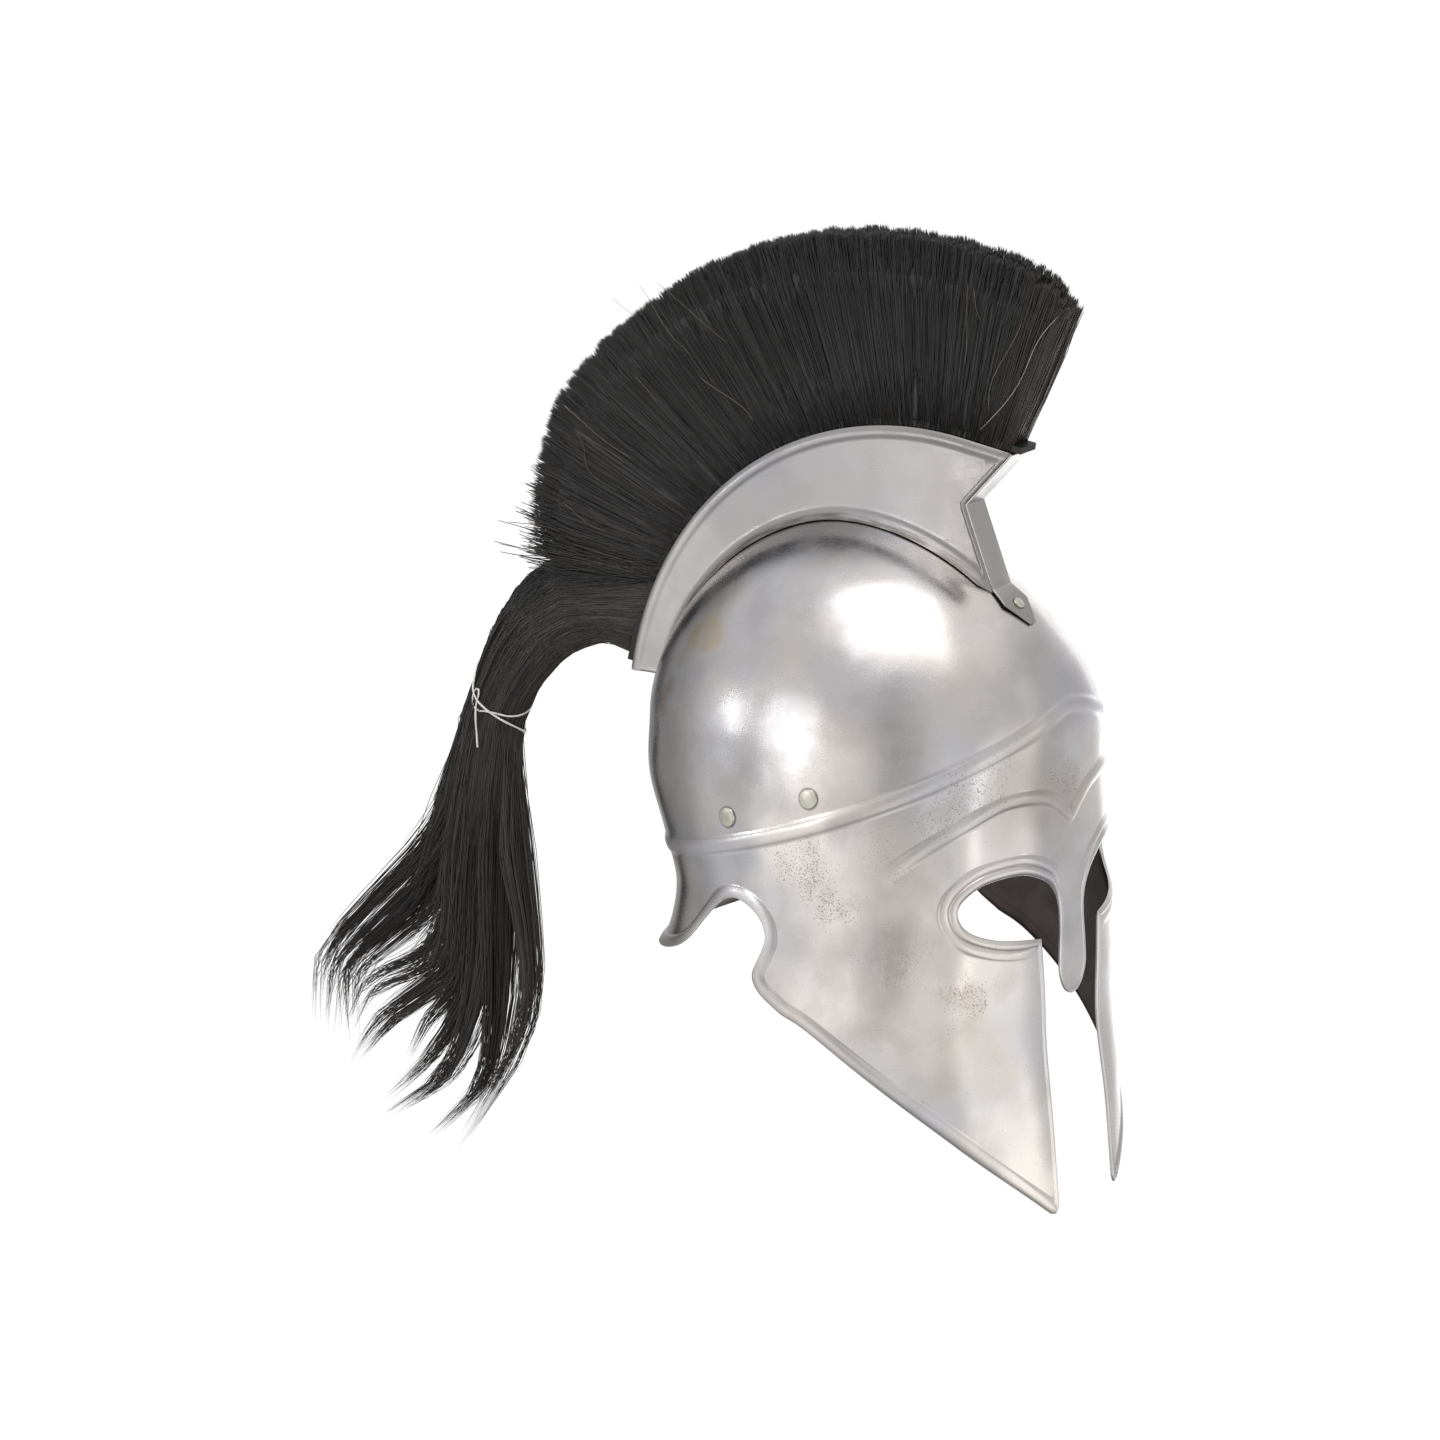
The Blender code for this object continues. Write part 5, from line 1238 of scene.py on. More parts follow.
def brush_core():
    """Mesh of the dark core that fills the brush."""
    columns, rows = CORE_COLUMNS, CORE_ROWS
    share = np.linspace(CORE_ENDS, 1.0 - CORE_ENDS, columns)
    root, tip, half = brush_ends(share)
    out = tip - root
    out /= np.linalg.norm(out, axis=1, keepdims=True)
    top = tip - out * CORE_INSET
    root = root + out * (BLOCK_PROUD + SEAT)
    points, polygons = [], []
    for side in (-1.0, 1.0):
        for up in np.linspace(0.0, 1.0, rows + 1):
            width = (half * CORE_SHARE - BRUSH_ROOT_HALF) * up**BRUSH_SPREAD
            width = BRUSH_ROOT_HALF - SEAT + width
            width = width * (1.0 - CORE_DRAW * smoothstep((up - CORE_SHOULDER) / (1.0 - CORE_SHOULDER)))
            width = width * np.minimum(1.0, CORE_NOSE + CORE_NOSE_SLOPE * np.minimum(share, 1.0 - share))
            points.append(np.column_stack([side * width, root + (top - root) * up]))
    grid = np.arange(2 * (rows + 1) * columns).reshape(2, rows + 1, columns)
    loop = [(0, i) for i in range(rows + 1)] + [(1, i) for i in range(rows, -1, -1)]
    for (s, i), (t, k) in zip(loop, loop[1:] + loop[:1]):
        for j in range(columns - 1):
            polygons.append((grid[s, i, j], grid[s, i, j + 1], grid[t, k, j + 1], grid[t, k, j]))
    for j, turn in ((0, 1), (columns - 1, -1)):
        for i in range(rows):
            quad = (grid[0, i, j], grid[0, i + 1, j], grid[1, i + 1, j], grid[1, i, j])
            polygons.append(quad[::turn])
    return new_mesh("plume_brush_core", np.vstack(points), polygons)


def make_brush(hair):
    """The trimmed upright hair: a dark core and the hairs on both sides of it."""
    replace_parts(show(brush_core(), "hair", hair), "plume_brush")
    rng = np.random.default_rng(7)
    for side, hand in ((-1, "right"), (1, "left")):
        even = (np.arange(BRUSH_HAIRS) + rng.random(BRUSH_HAIRS)) / BRUSH_HAIRS
        front = rng.random(BRUSH_HAIRS) < FRONT_HAIRS
        share = np.where(front, rng.random(BRUSH_HAIRS) * FRONT_FACE, even)
        across, outer = rng.random(BRUSH_HAIRS), rng.random(BRUSH_HAIRS) ** DEPTH_BIAS
        depth = side * np.where(front, across, outer)
        tones = BRUSH_TONE[0] + BRUSH_TONE[1] * rng.random(BRUSH_HAIRS)
        tones = tones + FRONT_TONE * (1.0 - smoothstep(share / FRONT_TONE_REACH))
        tones = tones + REAR_TONE * smoothstep((share - REAR_TONE_START) / (1.0 - REAR_TONE_START))
        paths = brush_paths(rng, share, depth)
        strands(f"plume_brush_hair_{hand}", paths, BRUSH_RADII, tones, hair)


def make_flyaways(hair):
    """Single pale hairs that lie across the brush on both sides."""
    rng = np.random.default_rng(31)
    rows = [(*row, -1.0) for row in FOUND_FLYAWAYS]
    starts = rng.uniform(*FLYAWAY_REGION, FLYAWAYS)
    sides = np.sign(rng.uniform(-1.0, 1.0, FLYAWAYS))
    lows = rng.uniform(*FLYAWAY_STARTS, FLYAWAYS)
    for start, side, low in zip(starts, sides, lows):
        last = start + rng.normal(0.0, FLYAWAY_LEAN)
        high = low + rng.uniform(*FLYAWAY_LENGTHS)
        rows.append((start, last, low, high, rng.normal(0.0, FLYAWAY_BOW), side))
    paths = []
    for first, last, low, high, bow, side in rows:
        up = np.linspace(low, high, FLYAWAY_PLACES)
        share = np.linspace(first, last, FLYAWAY_PLACES)
        root, tip, half = brush_ends(np.clip(share, 0.0, 1.0))
        flat = root + (tip - root) * up[:, None]
        turn = np.linspace(0.0, math.pi, FLYAWAY_PLACES)
        flat[:, 0] += bow * (np.sin(turn) + 0.5 * np.sin(2.0 * turn))
        reach = BRUSH_ROOT_HALF + (half - BRUSH_ROOT_HALF) * up**BRUSH_SPREAD
        paths.append(np.column_stack([side * (reach + FLYAWAY_GAP * np.sin(turn)), flat]))
    radii = np.full((len(paths), 1), FLYAWAY_RADIUS)
    radii[:len(FOUND_FLYAWAYS)] = FOUND_RADIUS
    tones = np.full(len(paths), FLYAWAY_TONE)
    tones[0] = PALEST_TONE
    strands("plume_brush_pale_hair", np.array(paths), radii, tones, hair)


def stem_places(inside, across, first, last):
    """Places of hairs on the tail's bound part, from one of its sections to another."""
    normals = unit_normals(TAIL_STEM)
    rows = []
    for (y, z, half, deep), (n_y, n_z) in zip(TAIL_STEM[first:last], normals[first:last]):
        rows.append(np.column_stack([across * deep, y + inside * half * n_y, z + inside * half * n_z]))
    return np.stack(rows, axis=1)


def stem_core():
    """Mesh of the dark core inside the tail's bound part."""
    rows = smooth_run(TAIL_STEM)
    rows = rows[np.linspace(0, len(rows) - 1, STEM_CORE_RINGS).astype(int)]
    points = []
    for (y, z, half, deep), (n_y, n_z) in zip(rows, unit_normals(rows)):
        for k in range(STEM_CORE_SIDES):
            angle = 2.0 * math.pi * k / STEM_CORE_SIDES
            inside = half * STEM_CORE * math.cos(angle)
            points.append((deep * STEM_CORE * math.sin(angle), y + inside * n_y, z + inside * n_z))
    mesh = new_mesh("plume_tail_core", points, tube_faces(len(points), STEM_CORE_SIDES))
    mesh.flip_normals()
    return mesh


def make_stem(hair):
    """The bound part of the tail: a dark core and the hairs that run along it."""
    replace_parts(show(stem_core(), "hair", hair), "plume_tail")
    rng = np.random.default_rng(11)
    angle = 2.0 * math.pi * rng.random(STEM_HAIRS)
    reach = 1.0 - STEM_SKIN + STEM_SKIN * rng.random(STEM_HAIRS) ** 0.5
    inside, across = reach * np.cos(angle), reach * np.sin(angle)
    outlet = np.interp(-inside, (-1.0, 1.0), STEM_BOX)
    first = np.column_stack([across * BRUSH_ROOT_HALF, box_top(outlet)[0]])
    second = stem_places(inside, across, 1, len(TAIL_STEM))
    second[..., 0] += rng.normal(0.0, STEM_WANDER[0], second.shape[:2])
    second[..., 1:] += rng.normal(0.0, STEM_WANDER[1], second[..., 1:].shape)
    places = np.concatenate([first[:, None], second], axis=1)
    is_full = rng.random(STEM_HAIRS) < STEM_FULL
    end = STEM_SHORTEST + (1.0 - STEM_SHORTEST) * rng.random(STEM_HAIRS)
    end = np.where(is_full, 1.0, end)
    inner = smoothstep((inside - STEM_SHADE_START) / (1.0 - STEM_SHADE_START))
    shade = 1.0 - STEM_SHADE * inner
    tones = (STEM_TONE[0] + STEM_TONE[1] * rng.random(STEM_HAIRS)) * shade
    strands("plume_tail_bound_hair", smooth_through(places, STEM_SECTIONS + 1, end),
            taper(HAIR_ROOT, HAIR_TIP, STEM_SECTIONS), tones, hair)


def taper(root, tip, count):
    """Radii that thin slowly at first and faster toward the tip."""
    return root + (tip - root) * np.linspace(0.0, 1.0, count) ** 1.5


def lock_paths(rng, number, lock, middle, count):
    """Hairs of one lock, gathered in wisps that draw together and end one after another."""
    rows = np.array(lock)
    wisps = LOCK_WISPS[number]
    wisp = rng.integers(0, wisps, count)
    order = (np.arange(wisps) + rng.random(wisps)) / wisps
    wisp_aside = (2.0 * order - 1.0)[wisp]
    wisp_depth = np.clip(rng.normal(0.0, WISP_DEPTHS, wisps), -1.0, 1.0)[wisp]
    wisp_end = (1.0 - WISP_LOSS * rng.random(wisps) ** WISP_LOSS_BIAS)[wisp]
    wisp_wave = rng.normal(0.0, WISP_WAVE, wisps)[wisp]
    wisp_phase = rng.uniform(0.0, 6.3, wisps)[wisp]
    inside = middle + SLICE_SPREAD * wisp_aside + rng.normal(0.0, SLICE_BLUR, count)
    inside = np.clip(inside, -1.0, 1.0)
    across = wisp_depth * np.sqrt(np.clip(1.0 - inside**2, 0.05, 1.0))
    start = stem_places(inside, across, 2, 6)
    start[:, 0] = stem_places(LOCK_DIVE * inside, LOCK_DIVE * across, 2, 3)[:, 0]
    start[..., 0] += rng.normal(0.0, 1.0, start.shape[:2])
    # One lock leans to the right, the next to the left and the third not at all
    lean = LOCK_LEAN * ((number * 2) % 3 - 1)
    jitter = np.clip(rng.normal(0.0, 1.0, count), -WISP_REACH, WISP_REACH)
    depth_jitter = rng.normal(0.0, 1.0, count)
    stray = np.where(rng.random(count) < STRAY_SHARE, STRAY_SPREAD, 1.0)
    places = [start]
    for at, ((y, z, half), (n_y, n_z)) in enumerate(zip(rows, unit_normals(rows))):
        share = at / (len(rows) - 1)
        depth = LOCK_DEPTH + (LOCK_END_DEPTH - LOCK_DEPTH) * share
        gather = WISP_ROOT + (WISP_TIP - WISP_ROOT) * share**WISP_GATHER
        gather = gather * (1.0 + (stray - 1.0) * share)
        aside = wisp_aside * half * (1.0 + (LOCK_WIDEN - 1.0) * share) + jitter * gather
        aside = aside + wisp_wave * share * np.sin(wisp_phase + WISP_WAVES * share)
        x = wisp_depth * depth + depth_jitter * gather + lean * share
        places.append(np.column_stack([x, y + aside * n_y, z + aside * n_z])[:, None])
    end = wisp_end * (1.0 - HAIR_LOSS * rng.random(count) ** 2)
    is_alone = rng.random(count) < LONE_HAIRS
    end = np.where(is_alone, LONE_SHORTEST + (1.0 - LONE_SHORTEST) * rng.random(count), end)
    return smooth_through(np.concatenate(places, axis=1), LOCK_SECTIONS + 1, end)


def make_locks(hair):
    """The locks that fan out under the string, each from its own slice of the bound hair."""
    rng = np.random.default_rng(23)
    slices = np.linspace(SLICE_REACH, -SLICE_REACH, len(TAIL_LOCKS))
    parts = {"outer": [], "inner": []}
    for number, lock in enumerate(TAIL_LOCKS):
        paths = lock_paths(rng, number, lock, slices[number], LOCK_HAIRS[number])
        parts["outer" if number < OUTER_LOCKS else "inner"].append(paths)
    for part, paths in parts.items():
        paths = np.concatenate(paths)
        tones = LOCK_TONE[0] + LOCK_TONE[1] * rng.random(len(paths))
        radii = taper(HAIR_ROOT, LOCK_TIP, LOCK_SECTIONS)
        strands(f"plume_tail_locks_{part}", paths, radii, tones, hair)


def make_string(cotton):
    """The string that binds the tail, with one loop and a loose end."""
    normals = line_normals(TAIL_STEM)
    legs = np.linalg.norm(np.diff(TAIL_STEM[:, :2], axis=0), axis=1)
    stations = np.concatenate([[0.0], np.cumsum(legs)])
    table = np.column_stack([TAIL_STEM, normals]).T
    points = []
    for turn, along, lift in smooth_run(np.array(STRING_ROUTE)):
        angle = math.radians(turn)
        at = stations[STRING_STATION] + along
        y, z, inside, across, n_y, n_z = [np.interp(at, stations, column) for column in table]
        normal = unit(np.array([n_y, n_z]))
        off = STRING_GAP + STRING_RADIUS + lift
        reach = (inside + off) * math.sin(angle)
        x = -(across + off) * math.cos(angle)
        points.append((x, y + reach * normal[0], z + reach * normal[1]))
    points = np.array(points)
    legs = np.linalg.norm(np.diff(points, axis=0), axis=1)
    travelled = np.concatenate([[0.0], np.cumsum(legs)])
    count = round(travelled[-1] / STRING_STEP)
    wanted = np.linspace(0.0, travelled[-1], count + 1)
    curve = bpy.data.curves.new("tail_string_fine", "CURVE")
    curve.dimensions = "3D"
    curve.bevel_depth = STRING_FINE * MM
    curve.bevel_resolution = 4
    curve.use_fill_caps = True
    spline = curve.splines.new("POLY")
    spline.points.add(count)
    for i, at in enumerate(wanted):
        place_at = [np.interp(at, travelled, points[:, c]) * MM for c in range(3)]
        spline.points[i].co = (*place_at, 1.0)
        spline.points[i].radius = 1.0 + STRING_LAY * math.sin(at * STRING_TWIST)
    piece = new_object("tail_string_fine", curve)
    curve.materials.append(cotton)
    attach(piece, "root")
    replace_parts(piece, "tail_string")


# Faint tints of the skull's polished steel, with spots of painted light and painted shade among them.
# Columns: place, reach, strength and colour.
SKULL_TINTS_AND_PAINTED_LIGHT = (
    ((-85.0, -70.0, -200.0), 95.0, 0.70, "#E0D8D0"),   # the cheek: warmer in tone, and lighter with painted light
    # painted light on the cheek's tip and under the ridge
    ((-48.0, -118.0, -335.0), 65.0, 0.80, "#F4EDE6"),
    ((-98.0, -16.0, -152.0), 28.0, 0.60, "#F2EBE4"),
    # painted shade on the forehead and about the rivets
    ((-34.0, -122.0, -124.0), 46.0, 0.55, "#A09A95"),
    ((-90.0, 4.0, -108.0), 34.0, 0.45, "#AFABAA"),
    # painted light on the neck guard
    ((-77.0, 63.0, -183.0), 32.0, 0.70, "#F2EEEA"),
    # painted shade under the front of the crest and on the far cheek
    ((-16.0, -108.0, -59.0), 32.0, 0.35, "#ADA9A7"),
    ((40.0, -120.0, -290.0), 62.0, 0.45, "#ABA7A4"),
    ((-61.0, 60.0, -56.0), 15.0, 0.45, "#C4AE7C"),     # straw, from the heat of raising the skull
    ((-64.0, 78.0, -84.0), 20.0, 0.50, "#8F7257"),
    # painted shade at the rear of the dome, under the crest
    ((-25.0, 80.0, -40.0), 34.0, 0.45, "#6F6A6A"),
    # a faint blue tint
    ((-73.0, 25.0, -56.0), 34.0, 0.25, "#AAADBE"),
    # painted light on the cheek
    ((-97.0, -54.0, -208.0), 42.0, 0.65, "#EFE9E6"),
    # painted shade on the nasal between the eyes
    ((0.0, -133.0, -195.0), 26.0, 0.40, "#A09C9A"),
    # faint blue, lilac and warm tints of the steel
    ((-20.0, -118.0, -173.0), 26.0, 0.22, "#B2B4C0"),
    ((-74.0, -52.0, -70.0), 34.0, 0.25, "#BDB3C0"),
    ((-66.0, -102.0, -255.0), 36.0, 0.30, "#C9BCA6"),
)
# Painted shade darkens the crest box in front and painted light lightens it behind, and painted shade
# makes the strap darkest at its tab.
CREST_PAINTED_SHADE_AND_LIGHT = (
    # painted shade on the box's front
    ((-11.0, -76.0, 22.0), 86.0, 0.80, "#959190"),
    # painted light on its rear
    ((-11.0, 115.0, -55.0), 80.0, 0.60, "#D2CECB"),
)
STRAP_PAINTED_SHADE = (
    # painted shade on the tab
    ((0.0, -100.0, -36.0), 26.0, 0.60, "#8C8987"),
)
# Where rust has freckled the steel. Columns: place, reach and strength.
STEEL_RUST = (
    ((-95.0, -20.0, -165.0), 26.0, 1.0),
    ((-95.0, -36.0, -183.0), 24.0, 0.9),
    ((-89.0, -75.0, -204.0), 26.0, 1.0),
    ((-72.0, -98.0, -223.0), 24.0, 0.9),
    ((-87.0, -62.0, -147.0), 24.0, 0.6),
    ((-67.0, -97.0, -123.0), 26.0, 0.7),
    ((-50.0, -110.0, -115.0), 22.0, 0.7),
    ((-10.0, -120.0, -119.0), 22.0, 0.8),
    ((60.0, -100.0, -125.0), 26.0, 0.6),
    ((92.0, -60.0, -195.0), 30.0, 0.8),
)
SPOT_CORE = 0.25            # a spot is full up to this share of its reach
RUST = "#857A70"
STAIN = "#A39382"           # thin tan rust about the freckles
HAZE = "#9E948C"            # where the polish has gone dull
GRIME_AND_SHADE = "#57504A"           # painted shade in a ring round each rivet's head, with the grime that gathers there
GRIME_AND_SHADE_RING = (1.04, 1.24)   # as shares of the radius of the rivet's head
GRIME_AND_SHADE_STRENGTH = 0.65
LIP_SHADE_GREY = "#7C7774"        # painted shade on the crest box's flared foot
LIP_BAND = (1.1, 2.2)       # how far out from the plate the shaded, dull lip comes in
LIP_DULLNESS = 0.16
# Tints, painted light, painted shade and rust are drawn out of round by clouds of this width, and by a
# share of this reach.
DRIFT_WIDTH = 100.0 / 3.0
DRIFT_REACH = 60.0
# Clouds in the steel. Columns: width in mm and raggedness.
STEEL_CLOUDS = {
    "tone": (55.0, 2.0),    # from the warm to the cool grey
    "haze": (26.0, 6.0),
    "stain": (6.0, 5.0),
    "freckle": (0.9, 3.0),
    "gloss": (24.0, 4.0),
}
FRECKLE_HELP = 0.15         # how much easier freckles come where rust is
# Between which levels each thing that varies over the steel comes in, and how far.
STEEL_LEVELS = {
    "tone": (0.35, 0.65, 1.0),
    "haze": (0.48, 0.66, 0.22),
    "stain": (0.3, 0.7, 0.45),
    "freckle": (0.68, 0.76, 1.0),
    "gloss": (0.3, 0.7, 1.0),
    "mark": (0.62, 0.76, 1.0),
    "raised": (0.3, 1.6, 1.0),
}
# How much rougher some of them make the polish.
STEEL_DULLING = {"raised": 0.18, "freckle": 0.35, "mark": 0.08, "haze": 0.25}
# Soft dents left by the hammer. Columns: width in mm, raggedness and share of the full depth.
HAMMER_DENTS = ((38.0, 1.5, 1.0), (11.0, 2.0, 0.08))
PIT_DEPTH = 0.08            # of the freckles
PIT_STRENGTH = 0.5
# Fine marks of the polishing wheel that run level, upright and aslant, as marks per metre
# along x, y and z. They are about 0.4 to 1.1 mm wide and 6 to 17 mm long, which is coarser
# than real ones, so that they show.
POLISH_MARKS = ((70.0, 70.0, 2400.0), (1500.0, 1500.0, 60.0), (900.0, 160.0, 1300.0))
LIP_STREAKS = (1400.0, 60.0, 60.0)     # in the same way: 0.7 mm wide and 17 mm long
LIP_STREAK_LEVELS = (0.4, 0.6)         # between which levels a streak comes in
LIP_STREAK_LEAST = 0.1

# The colour of hair and the further ones that it takes on as its tone rises. Columns: the two
# tones between which each comes in, and the colour.
HAIR_BLACK = "#131212"
HAIR_COLOURS = (
    (0.0, 0.45, "#3F3D3C"),
    (0.4, 0.9, "#65503F"),
    (0.9, 1.0, "#B4AFA6"),
)


def colour(code):
    """A linear colour from the hex digits of a screen colour."""
    levels = [int(code[i:i + 2], 16) / 255.0 for i in (1, 3, 5)]
    return (*[v / 12.92 if v <= 0.04045 else ((v + 0.055) / 1.055) ** 2.4 for v in levels], 1.0)


def node(tree, kind, inputs, **settings):
    """A shader node with its settings, and its inputs either set or linked."""
    made = tree.nodes.new(kind)
    for key, value in settings.items():
        setattr(made, key, value)
    for key, value in inputs.items():
        if isinstance(value, bpy.types.NodeSocket):
            tree.links.new(value, made.inputs[key])
        else:
            made.inputs[key].default_value = value
    return made


def new_finish(name, **values):
    """A material, its node tree and its shader, with what is the same all over it."""
    made = bpy.data.materials.new(name)
    made.use_nodes = True
    shader = made.node_tree.nodes["Principled BSDF"]
    for key, value in values.items():
        shader.inputs[key.replace("_", " ")].default_value = value
    return made, made.node_tree, shader


def spot_share(tree, place, spot, inner, outer, strength, **settings):
    """A share that is full up to an inner radius round a spot and fades to an outer one."""
    gap = node(tree, "ShaderNodeVectorMath", {0: place, 1: Vector(spot) * MM}, operation="DISTANCE")
    return node(tree, "ShaderNodeMapRange", {
        "Value": gap.outputs["Value"],
        "From Min": inner * MM,
        "From Max": outer * MM,
        "To Min": strength,
        "To Max": 0.0,
    }, **settings).outputs["Result"]


def strayed_place(tree, place):
    """A place moved about by soft clouds, so that spots about it are drawn out of round."""
    drift = node(tree, "ShaderNodeTexNoise", {
        "Vector": place,
        "Scale": 1.0 / (DRIFT_WIDTH * MM),
        "Detail": 1.0,
    }).outputs["Color"]
    drift = node(tree, "ShaderNodeVectorMath", {0: drift, 1: (0.5, 0.5, 0.5)}, operation="SUBTRACT")
    drift = node(tree, "ShaderNodeVectorMath", {0: drift.outputs[0], "Scale": DRIFT_REACH * MM},
                 operation="SCALE")
    return node(tree, "ShaderNodeVectorMath", {0: place, 1: drift.outputs[0]}).outputs[0]


def soft_spots(tree, place, spots):
    """Shares of round spots that have a place, a reach and a strength each."""
    return [spot_share(tree, place, spot, SPOT_CORE * reach, reach, strength,
                       interpolation_type="SMOOTHSTEP") for spot, reach, strength in spots]


def polish_marks(tree, place):
    """Level of the polishing marks at a place, the highest of their three directions."""
    marks = 0.0
    for stretch in POLISH_MARKS:
        drawn = node(tree, "ShaderNodeVectorMath", {0: place, 1: stretch}, operation="MULTIPLY")
        lines = node(tree, "ShaderNodeTexNoise", {
            "Vector": drawn.outputs[0],
            "Scale": 1.0,
            "Detail": 1.0,
        })
        marks = node(tree, "ShaderNodeMath", {0: lines.outputs["Fac"], 1: marks},
                     operation="MAXIMUM").outputs[0]
    return marks


def steel_shares(tree, place, rust_spots, rust):
    """How far each thing that varies over the steel has come in at a place."""
    region = 0.0
    for spot in rust_spots:
        region = node(tree, "ShaderNodeMath", {0: spot, 1: region}, operation="MAXIMUM").outputs[0]
    levels = {
        "mark": polish_marks(tree, place),
        "raised": node(tree, "ShaderNodeAttribute", {}, attribute_name="raised").outputs["Fac"],
    }
    for use, (width, raggedness) in STEEL_CLOUDS.items():
        levels[use] = node(tree, "ShaderNodeTexNoise", {
            "Vector": place,
            "Scale": 1.0 / (width * MM),
            "Detail": raggedness,
        }).outputs["Fac"]
    levels["stain"] = node(tree, "ShaderNodeMath", {0: region, 1: levels["stain"]},
                           operation="MULTIPLY").outputs[0]
    levels["freckle"] = node(tree, "ShaderNodeMath", {0: region, 1: FRECKLE_HELP, 2: levels["freckle"]},
                             operation="MULTIPLY_ADD").outputs[0]
    shares = {}
    for use, (low, high, full) in STEEL_LEVELS.items():
        shares[use] = node(tree, "ShaderNodeMapRange", {
            "Value": levels[use],
            "From Min": low,
            "From Max": high,
            "To Max": full * (rust if use in ("stain", "freckle") else 1.0),
        }).outputs["Result"]
    return shares


def steel_dents(tree, place, freckles, depth):
    """Soft dents from the hammer, with fine pits where the rust is."""
    normal = {}
    for width, raggedness, share in HAMMER_DENTS:
        waves = node(tree, "ShaderNodeTexNoise", {
            "Vector": place,
            "Scale": 1.0 / (width * MM),
            "Detail": raggedness,
        }).outputs["Fac"]
        dents = node(tree, "ShaderNodeBump", {
            "Height": waves,
            "Strength": 1.0,
            "Distance": share * depth * MM,
            **normal,
        })
        normal = {"Normal": dents.outputs["Normal"]}
    return node(tree, "ShaderNodeBump", {
        "Height": freckles,
        "Strength": PIT_STRENGTH,
        "Distance": PIT_DEPTH * MM,
        **normal,
    }, invert=True).outputs["Normal"]


def polished_steel(name, warm, cool, tints_and_painted_light, seats, dents, rust, gloss_range):
    """Polished mild steel: grey and bright, in soft waves from the hammer, faintly tinted blue, lilac
    and straw, with brown freckles of old rust and spots of painted light and painted shade. It is duller
    on the raised rolls."""
    made, tree, shader = new_finish(name, Metallic=1.0)
    place = node(tree, "ShaderNodeTexCoord", {}).outputs["Object"]
    strayed = strayed_place(tree, place)
    shares = steel_shares(tree, place, soft_spots(tree, strayed, STEEL_RUST), rust)
    # Spots from the table: tints of the steel, painted light and painted shade
    spots = soft_spots(tree, strayed, [row[:3] for row in tints_and_painted_light])
    layers = [(shares["tone"], cool)]
    layers += [(spot, row[3]) for spot, row in zip(spots, tints_and_painted_light)]
    layers += [(shares["haze"], HAZE), (shares["stain"], STAIN), (shares["freckle"], RUST)]
    # A ring of painted shade and grime round each rivet's head
    for centre, head in seats:
        inner, outer = (share * head for share in GRIME_AND_SHADE_RING)
        layers.append((spot_share(tree, place, centre, inner, outer, GRIME_AND_SHADE_STRENGTH), GRIME_AND_SHADE))
    base = colour(warm)
    for share, tint in layers:
        base = node(tree, "ShaderNodeMix", {0: share, 6: base, 7: colour(tint)},
                    data_type="RGBA").outputs[2]
    tree.links.new(base, shader.inputs["Base Color"])
    gloss = gloss_range[0]
    dulling = {"gloss": gloss_range[1] - gloss_range[0], **STEEL_DULLING}
    for use, amount in dulling.items():
        gloss = node(tree, "ShaderNodeMath", {0: shares[use], 1: amount, 2: gloss},
                     operation="MULTIPLY_ADD").outputs[0]
    tree.links.new(gloss, shader.inputs["Roughness"])
    tree.links.new(steel_dents(tree, place, shares["freckle"], dents), shader.inputs["Normal"])
    return made


def shade_and_dull_lip(finish):
    """The crest box's flared foot: darker with painted shade and duller than the plate, in streaks along
    it.
    """
    tree = finish.node_tree
    shader = tree.nodes["Principled BSDF"]
    place = node(tree, "ShaderNodeTexCoord", {}).outputs["Object"]
    x = node(tree, "ShaderNodeSeparateXYZ", {0: place}).outputs[0]
    across = node(tree, "ShaderNodeMath", {0: x}, operation="ABSOLUTE").outputs[0]
    lip = node(tree, "ShaderNodeMapRange", {
        "Value": across,
        "From Min": (BOX_HALF + LIP_BAND[0]) * MM,
        "From Max": (BOX_HALF + LIP_BAND[1]) * MM,
    }).outputs["Result"]
    drawn = node(tree, "ShaderNodeVectorMath", {0: place, 1: LIP_STREAKS}, operation="MULTIPLY")
    streaks = node(tree, "ShaderNodeTexNoise", {
        "Vector": drawn.outputs[0],
        "Scale": 1.0,
        "Detail": 2.0,
    }).outputs["Fac"]
    streaks = node(tree, "ShaderNodeMapRange", {
        "Value": streaks,
        "From Min": LIP_STREAK_LEVELS[0],
        "From Max": LIP_STREAK_LEVELS[1],
        "To Min": LIP_STREAK_LEAST,
    }).outputs["Result"]
    share = node(tree, "ShaderNodeMath", {0: lip, 1: streaks}, operation="MULTIPLY").outputs[0]
    # Painted shade, in streaks, darkens the lip
    base = shader.inputs["Base Color"].links[0].from_socket
    base = node(tree, "ShaderNodeMix", {0: share, 6: base, 7: colour(LIP_SHADE_GREY)}, data_type="RGBA")
    tree.links.new(base.outputs[2], shader.inputs["Base Color"])
    gloss = shader.inputs["Roughness"].links[0].from_socket
    gloss = node(tree, "ShaderNodeMath", {0: lip, 1: LIP_DULLNESS, 2: gloss}, operation="MULTIPLY_ADD")
    tree.links.new(gloss.outputs[0], shader.inputs["Roughness"])


